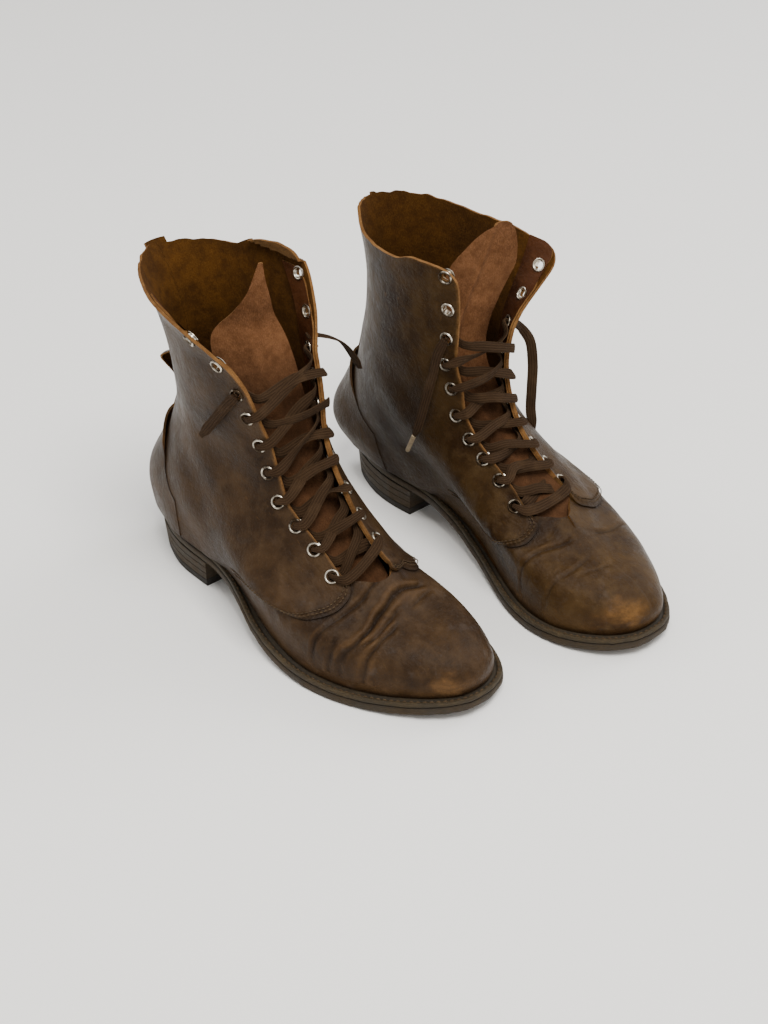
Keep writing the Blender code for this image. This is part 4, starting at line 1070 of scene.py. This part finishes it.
def make_tongue(boot):
    table = TONGUES[boot.name]
    knots = np.linspace(0, 1, len(table))
    line = np.array([row[0] for row in table], float)
    widths = np.array([row[1] for row in table], float)
    folds = np.array([row[2] for row in table], float)
    w, t = np.linspace(-1, 1, int(70 * FINE)), np.linspace(0, 1, int(220 * FINE))
    w, t = np.meshgrid(w, t, indexing="ij")
    s = t * tongue_top(boot, w)
    centre = spline(knots, line, s)
    ahead = spline(knots, line, np.minimum(s + 0.01, 1)) - spline(knots, line, np.maximum(s - 0.01, 0))
    ahead /= np.linalg.norm(ahead, axis=-1, keepdims=True)
    half = spline(knots, widths, s)
    fold = spline(knots, folds, s)
    turn = np.radians(spline(knots, np.array([row[3] for row in table], float), s))
    sway = 1 if boot.name == "left" else -1
    across = np.stack([sway * np.sin(turn), np.cos(turn), np.zeros_like(turn)], -1)
    face = np.cross(across, ahead)
    face /= np.linalg.norm(face, axis=-1, keepdims=True)
    if boot.name == "right":
        bend = fold * (0.55 - np.abs(w - 0.05) ** 1.15) - 0.4 * fold * smooth(w - 0.3)
    else:
        bend = fold * (0.35 - w**2) + 0.8 * fold * np.exp(-(((w - 0.32) / 0.14) ** 2))
        bend = bend - 1.3 * fold * smooth((w - 0.35) / 0.6)
    points = centre + across * (w * half)[..., None] + face * bend[..., None]
    uneven = 1.1 * cloud(points, 26, boot.seed + 60) + 0.5 * cloud(points, 8, boot.seed + 61)
    points = points + face * uneven[..., None]
    du = np.gradient(points, axis=0)
    dv = np.gradient(points, axis=1)
    out = np.cross(du, dv)
    out /= np.linalg.norm(out, axis=-1, keepdims=True)
    inner = points - out * 1.7
    # Painted shade: darker towards the bottom, where the tongue lies between the facings and under the
    # laces; plus random dirt blotches.
    dirt = 0.85 * smooth((0.62 - t) / 0.25) * (0.8 + 0.3 * cloud(points, 9, 7))
    dirt = dirt + 0.2 * smooth(cloud(points, 15, 5))
    obj = shell(boot, "tongue", points, inner, [TONGUE, TONGUE, CUT], None, None, dirt)
    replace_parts(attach(obj, boot.body("tongue_body")), f"{boot.name}_tongue")


# The soles.


def outline(boot, u, overhang):
    """Plan points round the feather line, moved out by an overhang."""
    ring = boot.plain(u, np.zeros_like(u))
    ahead = boot.plain(u + 0.01, np.zeros_like(u)) - boot.plain(u - 0.01, np.zeros_like(u))
    out = np.stack([ahead[:, 1], -ahead[:, 0]], -1)
    out /= np.linalg.norm(out, axis=1, keepdims=True)
    return ring[:, :2] + out * np.broadcast_to(np.asarray(overhang, float), u.shape)[:, None]


def sole_overhang(boot, u):
    x = boot.plain(u, np.zeros_like(u))[:, 0]
    return HEEL_OVERHANG + (SOLE_OVERHANG - HEEL_OVERHANG) * np.clip((x - 80) / 60, 0, 1)


def outsole_bottom(x):
    return feather(x) - SOLE_GAP - WELT_THICK - SOLE_GAP - OUTSOLE_THICK


def band(boot, name, u, profile, materials, slots, closed, caps, dirt=None):
    """A solid round the boot: profile is (overhang change, height rule) per loop."""
    loops = []
    for change, height in profile:
        plan = outline(boot, u, sole_overhang(boot, u) + change)
        ring = np.column_stack([plan, [height(x) for x in plan[:, 0]]])
        wobble = 0.28 * cloud(ring, 16, boot.seed + 70) + 0.15 * noise(ring, 4, boot.seed + 71)
        ring[:, :2] += wobble[:, None] * (ring[:, :2] - ring[:, :2].mean(0)) / 60
        loops.append(ring)
    n, m = len(loops), len(u)
    points = np.concatenate(loops)
    faces, face_slots = [], []
    for k in range(n if closed else n - 1):
        low, high = k * m, (k + 1) % n * m
        for i in range(m):
            j = (i + 1) % m
            faces.append([low + i, low + j, high + j, high + i])
            face_slots.append(slots[k])
    if caps:
        for start, slot, turn in ((0, caps[0], True), ((n - 1) * m, caps[1], False)):
            for i in range(m // 2):
                a, b = start + i, start + (i + 1) % m
                c, d = start + (m - 1 - i), start + (m - i) % m
                if i == 0:
                    continue
                face = [a, b, c, d] if len({a, b, c, d}) == 4 else [a, b, c]
                faces.append(face[::-1] if turn else face)
                face_slots.append(slot)
    if boot.flip:
        faces = [f[::-1] for f in faces]
    obj = mesh_object(f"{boot.name}_{name}", boot.world(points), faces, materials, face_slots, 40)
    attribute(obj, "dirt", np.zeros(len(points)) if dirt is None else np.repeat(dirt, m))
    return obj


def under_feather(drop):
    return lambda x: feather(x) - SOLE_GAP - drop


def over_bottom(rise):
    return lambda x: outsole_bottom(x) + rise


def make_sole(boot):
    u = np.linspace(-1, 1, int(440 * FINE), endpoint=False) + 1.0 / int(440 * FINE)
    shape = (
        (-12.0, 3.0), (-1.0, 3.0), (-0.5, 2.8), (-0.25, 2.2), (-0.3, 1.2), (-0.7, 0.35),
        (-1.5, 0.0), (-3.4, 0.1), (-4.3, 0.7), (-5.2, 0.2), (-12.0, 0.1),
    )
    profile = [(change, under_feather(drop)) for change, drop in shape]
    # Darker along the welt's lower edge by the outsole and in the groove on its top by the upper.
    dirt = np.array([0, 0.9, 0.4, 0.1, 0, 0, 0, 0.2, 1.0, 0.5, 0.5])
    obj = band(boot, "welt", u, profile, [WELT_TOP], [0] * 11, True, None, dirt)
    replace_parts(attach(obj, boot.body()), f"{boot.name}_welt")
    shape = (
        (-2.2, 0.0), (-0.9, 0.15), (-0.2, 0.8), (0.1, 2.0), (0.25, 3.6), (0.15, 5.0), (-0.2, 5.7),
        (-0.8, 6.0),
    )
    profile = [(change, over_bottom(rise)) for change, rise in shape]
    # Darkest at the top, where the outsole meets the welt.
    dirt = np.array([0.2, 0.3, 0.2, 0.0, 0.0, 0.1, 0.5, 0.9])
    materials = [SOLE_EDGE, SOLE_BASE]
    obj = band(boot, "outsole", u, profile, materials, [1] + [0] * 7, False, (1, 0), dirt)
    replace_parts(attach(obj, boot.body()), f"{boot.name}_outsole")
    make_heel(boot)


def make_heel(boot):
    """A block heel of leather lifts over a rubber top piece, with its flat breast."""
    side = np.linspace(0.5, 0.999, 400)
    breast_u = float(np.interp(-HEEL_BREAST_X, -boot.plain(side, np.zeros_like(side))[:, 0], side))
    half = np.linspace(breast_u, 1, int(60 * FINE))
    u = np.concatenate([half, (half - breast_u - 1)[1:]])
    top_z = outsole_bottom(0.0) - SOLE_GAP
    levels = [(0.0, -0.6), (0.5, -0.1), (5.4, 0.0), (6.0, -0.5), (6.3, -0.5)]
    for k in range(3):
        base = 6.3 + (top_z - 6.3) * k / 3
        roof = 6.3 + (top_z - 6.3) * (k + 1) / 3
        levels += [(base + 0.35, 0.0), (roof - 0.5, 0.05), (roof - 0.15, -0.45)]
    parts = {"heel_lift": (levels[:4], RUBBER), "heel_stack": (levels[4:], SOLE_EDGE)}
    for name, (rings, material) in parts.items():
        loops = []
        for z, change in rings:
            taper = HEEL_TAPER + (1 - HEEL_TAPER) * z / top_z
            plan = outline(boot, u, sole_overhang(boot, u) + change)
            plan = HEEL_MIDDLE + (plan - HEEL_MIDDLE) * taper
            height = np.full(len(u), z)
            if z > top_z - 1:
                height = np.array([outsole_bottom(x) - SOLE_GAP - (top_z - z) for x in plan[:, 0]])
            ring = np.column_stack([plan, height])
            worn_edge = 0.3 * cloud(ring, 12, boot.seed + 80)
            ring[:, :2] += worn_edge[:, None] * (ring[:, :2] - HEEL_MIDDLE) / 40
            loops.append(ring)
        m = len(u)
        points = np.concatenate(loops)
        faces = []
        for k in range(len(loops) - 1):
            for i in range(m):
                j = (i + 1) % m
                faces.append([k * m + i, (k + 1) * m + i, (k + 1) * m + j, k * m + j][::-1])
        faces.append(list(range(m))[::-1])
        faces.append([(len(loops) - 1) * m + i for i in range(m)])
        if boot.flip:
            faces = [f[::-1] for f in faces]
        obj = mesh_object(f"{boot.name}_{name}", boot.world(points), faces, [material], None, 30)
        # The grooves between the lifts are darker.
        dirt = np.repeat([0.9 if change < -0.4 else 0.0 for _, change in rings], m)
        attribute(obj, "dirt", dirt)
        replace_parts(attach(obj, boot.body()), f"{boot.name}_{name}")


# Stitching.


def stitches(boot, name, path, out, spacing, length, radius, material):
    """Short raised stitches along a path on the leather, sunk at both ends."""
    steps = np.linalg.norm(np.diff(path, axis=0), axis=1)
    along = np.concatenate([[0], np.cumsum(steps)])
    starts = np.arange(spacing, along[-1] - spacing, spacing)
    parts = []
    turn = 2 * np.pi * np.arange(6) / 6
    for start in starts:
        at = start + np.linspace(0, length, 5)
        line = np.stack([np.interp(at, along, path[:, k]) for k in range(3)], -1)
        up = np.stack([np.interp(at, along, out[:, k]) for k in range(3)], -1)
        line = line + up * (np.array([-0.7, 0.1, 0.35, 0.1, -0.7]) * radius)[:, None]
        forward = line[-1] - line[0]
        forward /= np.linalg.norm(forward)
        side = np.cross(up[2], forward)
        size = radius * np.array([0.5, 0.9, 1.0, 0.9, 0.5])
        circle = np.cos(turn)[:, None] * side + np.sin(turn)[:, None] * up[2]
        rings = [p + r * circle for p, r in zip(line, size)]
        faces = [
            (k * 6 + i, k * 6 + (i + 1) % 6, (k + 1) * 6 + (i + 1) % 6, (k + 1) * 6 + i)
            for k in range(4)
            for i in range(6)
        ]
        faces += [tuple(range(6))[::-1], tuple(24 + i for i in range(6))]
        parts.append((np.concatenate(rings), faces))
    obj = joined(boot, name, parts, [material], sharp=0)
    attribute(obj, "along", np.zeros(len(obj.data.vertices)))
    attribute(obj, "across", np.zeros(len(obj.data.vertices)))
    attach(obj, boot.body())
    return obj


def on_leather(boot, u, v, offset):
    """A path on the worn outer face of a layer, with the outward normals there."""
    plain = boot.upper(u, v)
    out = boot.outward(u, v)
    lift = offset + relief(boot, plain, u, v)
    return plain + out * lift[:, None], out


def make_stitching(boot):
    for side in (LATERAL, MEDIAL):
        name = SIDE_NAME[side]
        v = np.linspace(0.115, 0.395, 150)
        for k, inset in enumerate((2.6, 5.0)):
            u = side * (boot.front_u(side, v) + inset / U_LENGTH)
            path, out = on_leather(boot, u, v, QUARTER[1])
            stitches(boot, f"seam_{name}_{k}", path, out, 2.9, 2.2, 0.42, THREAD)
    for k, edge in enumerate((-0.047, 0.047)):
        v = np.linspace(0.45, 0.985, 200)
        path, out = on_leather(boot, np.full_like(v, 1 + edge), v, BACKSTAY[1])
        stitches(boot, f"backstay_seam_{k}", path, out, 3.0, 2.2, 0.4, THREAD)
    u = np.linspace(-0.62, 0.62, 700)
    plan = outline(boot, u, sole_overhang(boot, u) - 2.6)
    path = np.column_stack([plan, feather(plan[:, 0]) - SOLE_GAP + 0.1])
    out = np.broadcast_to([0, 0, 1.0], path.shape)
    stitches(boot, "welt_stitches", path, out, 4.4, 3.1, 0.62, THREAD)


# The laces.

LACE_OUTSIDE = 5.2
LACE_OVER_EDGE = 5.0
LACE_INSIDE = -2.6


def lace_turn(boot, side, row, offset, weight=0.0):
    centre, normal, _ = boot.row_frame(side, row)
    return np.concatenate([centre + normal * offset, normal, [weight, 1.0]])


def through(boot, side, row):
    """Two turns of the lace through an eyelet, from inside the facing to outside."""
    return [lace_turn(boot, side, row, offset) for offset in (LACE_INSIDE, LACE_OUTSIDE)]


def facing_edge(boot, side, row, offset):
    v = boot.row_v(row, side)
    u = float(boot.beside_eyelet(side, v, -EDGE_TO_EYELET - 1.5))
    point = boot.layer(u, v, np.array(offset))
    return np.concatenate([point, boot.outward(u, v), [0.5, 0.0]])


def gap_normal(boot, row):
    ends = []
    for r in (row + 0.5, row - 0.5):
        v = [boot.row_v(r, side) for side in (LATERAL, MEDIAL)]
        ends.append(sum(boot.upper(boot.eyelet_u(s, t), t) for s, t in zip((LATERAL, MEDIAL), v)) / 2)
    normal = np.cross((0, 1, 0), ends[1] - ends[0])
    return normal / np.linalg.norm(normal)


def across_gap(boot, first, second, row, lift, slack):
    normal = gap_normal(boot, row)
    middle = (first[:3] + second[:3]) / 2 + normal * lift
    middle = middle + np.array([0, slack, 0]) + np.cross(normal, (0, 1, 0)) * slack * 0.6
    twist = normal + 0.6 * np.array([0, slack, slack]) / 2 / 1.6
    return np.concatenate([middle, twist / np.linalg.norm(twist), [0.5, 0.0]])


def strand(boot, side, lift):
    """Half of the lace, from inside the lowest eyelet on a side up to the third row."""
    loose = np.random.default_rng(boot.seed + side)
    start = [lace_turn(boot, side, ROWS, LACE_INSIDE)]
    first = facing_edge(boot, side, ROWS - 0.3, LACE_INSIDE)
    second = facing_edge(boot, -side, ROWS - 0.75, LACE_INSIDE)
    start += [first, across_gap(boot, first, second, ROWS - 0.5, lift + 1.4, 0), second]
    start += through(boot, -side, ROWS - 1)
    here = -side
    for row in range(ROWS - 1, 3, -1):
        over = facing_edge(boot, here, row - 0.25, LACE_OVER_EDGE)
        under = facing_edge(boot, -here, row - 0.72, LACE_INSIDE)
        slack = float(loose.uniform(-6.5, 6.5))
        rise = lift + float(loose.uniform(-0.6, 3.6))
        start += [over, across_gap(boot, over, under, row - 0.5, rise, slack), under]
        start += through(boot, -here, row - 1)
        here = -here
    return start


def lace_path(points, step=1.6):
    """(path, hints, weights, pinch) from rows of point, normal, weight and pinch."""
    path = smooth_path(points, step)
    hints = path[:, 3:6]
    return path[:, :3], hints, np.clip(path[:, 6], 0, 1) * 0.6, np.clip(path[:, 7], 0, 1)


def make_lace(boot):
    lateral = strand(boot, LATERAL, 1.9)
    medial = strand(boot, MEDIAL, -1.4)
    bar = [lace_turn(boot, s, ROWS, LACE_OUTSIDE) for s in (LATERAL, MEDIAL)]
    edge = [facing_edge(boot, s, ROWS, LACE_OVER_EDGE) for s in (LATERAL, MEDIAL)]
    points = [*lateral[::-1], bar[0], *edge, bar[1], *medial]
    path, hints, weights, pinch = lace_path(points)
    width = (7.0 + 1.1 * noise(path, 16, boot.seed + 70)) - 3.0 * smooth(pinch)
    thick = 1.5 + 1.1 * smooth(pinch)
    obj = ribbon(boot, "lace", path, hints, weights, width, thick, LACE)
    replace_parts(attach(obj, boot.body()), f"{boot.name}_lace")


# Free lace ends after the third eyelet: points in each boot's frame and the way the lace faces.
TAILS = {
    ("right", LATERAL): (
        ((108, -33.5, 170), (0.2, -0.95, 0.1)), ((98, -35, 157), (0.2, -0.95, 0)),
        ((87, -35.5, 143), (0.2, -0.95, 0)), ((77, -36, 131), (0.2, -0.95, 0)),
    ),
    ("right", MEDIAL): (
        ((103, 37, 191), (0, 0.6, 0.8)), ((108, 47, 189), (0, 0.3, 0.95)),
        ((110, 59, 181), (-0.1, 0.6, 0.8)), ((109, 70, 166), (-0.3, 0.8, 0.5)),
        ((108, 77, 153), (-0.4, 0.9, 0.2)),
    ),
    ("left", MEDIAL): (
        ((114, 40, 163), (0.2, 0.95, 0)), ((110, 41.5, 144), (0.2, 0.95, 0)),
        ((106, 44, 124), (0.2, 0.95, 0)), ((102, 47, 103), (0.1, 1.0, 0)),
        ((98, 48, 92), (0.1, 1.0, 0)),
    ),
    ("left", LATERAL): (
        ((121, -32, 160), (0.6, 0.4, 0.6)), ((126, -36, 151), (0.7, 0.5, 0.4)),
        ((130, -36, 134), (0.75, 0.6, 0.2)), ((131, -35, 115), (0.75, 0.6, 0.1)),
        ((132, -34, 96), (0.75, 0.6, 0.1)), ((137, -33, 80), (0.75, 0.6, 0.2)),
    ),
}
AGLET_LENGTH = 16.0


def make_tail(boot, side):
    start = lace_turn(boot, side, 3, LACE_OUTSIDE)
    start[7] = 0.6
    first = start.copy()
    first[:3] += first[3:6] * 0.4
    points = [first]
    for place, facing in TAILS[boot.name, side]:
        points.append(np.concatenate([place, facing, [0.5, 0.0]]))
    path, hints, weights, pinch = lace_path(points, 1.5)
    name = SIDE_NAME[side]
    tip = boot.name == "left"
    left = np.linspace(1, 0, len(path))
    width = 7.4 - 3.0 * smooth(pinch)
    end = smooth(left * len(path) / 7)
    width = width * (0.36 + 0.64 * end) if tip else width * (0.55 + 0.45 * end)
    obj = ribbon(boot, f"tail_{name}", path, hints, weights, width, 1.5 + 0.6 * smooth(pinch), LACE)
    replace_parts(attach(obj, boot.body()), f"{boot.name}_tail_{name}")
    if tip:
        tangent, _, across = transported(path, hints, weights)
        line = path[-1] + tangent[-1] * np.linspace(-2.0, AGLET_LENGTH - 2.0, 9)[:, None]
        frame_of = (line[0], tangent[-1], across[-1])
        profile = ((0.5, 0.0), (1.55, 0.15), (1.65, 0.8), (1.6, 7.0))
        profile += ((1.65, AGLET_LENGTH - 1.0), (1.3, AGLET_LENGTH), (0.2, AGLET_LENGTH))
        aglet = joined(boot, f"aglet_{name}", [lathe(profile, frame_of, 16)], [TIP], sharp=40)
        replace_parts(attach(aglet, boot.body()), f"left_aglet_{name}")
    world = boot.world(path)


def make_boot(name):
    boot = Boot(name)
    make_vamp(boot)
    make_tongue(boot)
    for side in (LATERAL, MEDIAL):
        make_quarter(boot, side)
        make_stay(boot, side)
        make_eyelets(boot, side)
        make_tail(boot, side)
    make_backstay(boot)
    heel_wrap(boot, "heel_stiffener", 0.26, 0.37, STIFFENER, [SOLE_EDGE] * 3, 0)
    heel_wrap(boot, "heel_pocket", 0.30, 0.415, POCKET, [UPPER[name], INSIDE, UPPER[name]], 1.8)
    make_sole(boot)
    make_lace(boot)
    make_stitching(boot)
    make_toe_puff(boot)
    for node, material in (("insole", INSIDE), ("cork_filler", SOLE_BASE), ("shank", NICKEL)):
        make_unseen(boot, node, material)


# Camera, light and floor.


def make_stage():
    turn, rise, far = 0.8465, 0.576, 1.3493
    target = Vector((-0.0055, 0.0014, 0.0927))
    back = Vector((math.sin(turn) * math.cos(rise), -math.cos(turn) * math.cos(rise), math.sin(rise)))
    lens = bpy.data.cameras.new("camera")
    lens.lens = 69.15
    lens.sensor_width = 36
    lens.shift_x = -0.0186
    lens.shift_y = -0.046
    lens.clip_start = 0.05
    camera = bpy.data.objects.new("camera", lens)
    camera.location = target + back * far
    camera.rotation_euler = (-back).to_track_quat("-Z", "Y").to_euler()
    bpy.context.scene.collection.objects.link(camera)
    bpy.context.scene.camera = camera
    lights = (
        ("key", (0.7, -0.3, 2.0), 1.0, 50.0, (1.0, 0.97, 0.92)),
        ("window", (-1.7, -0.7, 1.5), 0.8, 9.0, (1.0, 0.97, 0.93)),
        ("rim", (0.2, 1.8, 1.3), 1.2, 20.0, (1.0, 1.0, 1.0)),
    )
    for name, place, size, power, colour in lights:
        data = bpy.data.lights.new(name, "AREA")
        data.size = size
        data.energy = power
        data.color = colour
        light = bpy.data.objects.new(name, data)
        light.location = place
        light.rotation_euler = (Vector((0, 0, 0.1)) - Vector(place)).to_track_quat("-Z", "Y").to_euler()
        bpy.context.scene.collection.objects.link(light)
    world = bpy.data.worlds.new("studio")
    world.use_nodes = True
    world.node_tree.nodes["Background"].inputs["Color"].default_value = (1.0, 0.975, 0.94, 1)
    world.node_tree.nodes["Background"].inputs["Strength"].default_value = 0.82
    bpy.context.scene.world = world
    m = Shader("floor")
    tone = m.blend((0.90, 0.90, 0.89), (0.93, 0.93, 0.92), m.noise(3, 3))
    paper = m.finish(tone, 0.9, m.bump(m.noise(400, 3), 0.02, 0.0005))
    points = [(-3, -3, 0), (3, -3, 0), (3, 3, 0), (-3, 3, 0)]
    floor = mesh_object("floor", points, [(0, 1, 2, 3)], [paper], sharp=0)


make_stage()
for boot_name in ("right", "left"):
    make_boot(boot_name)
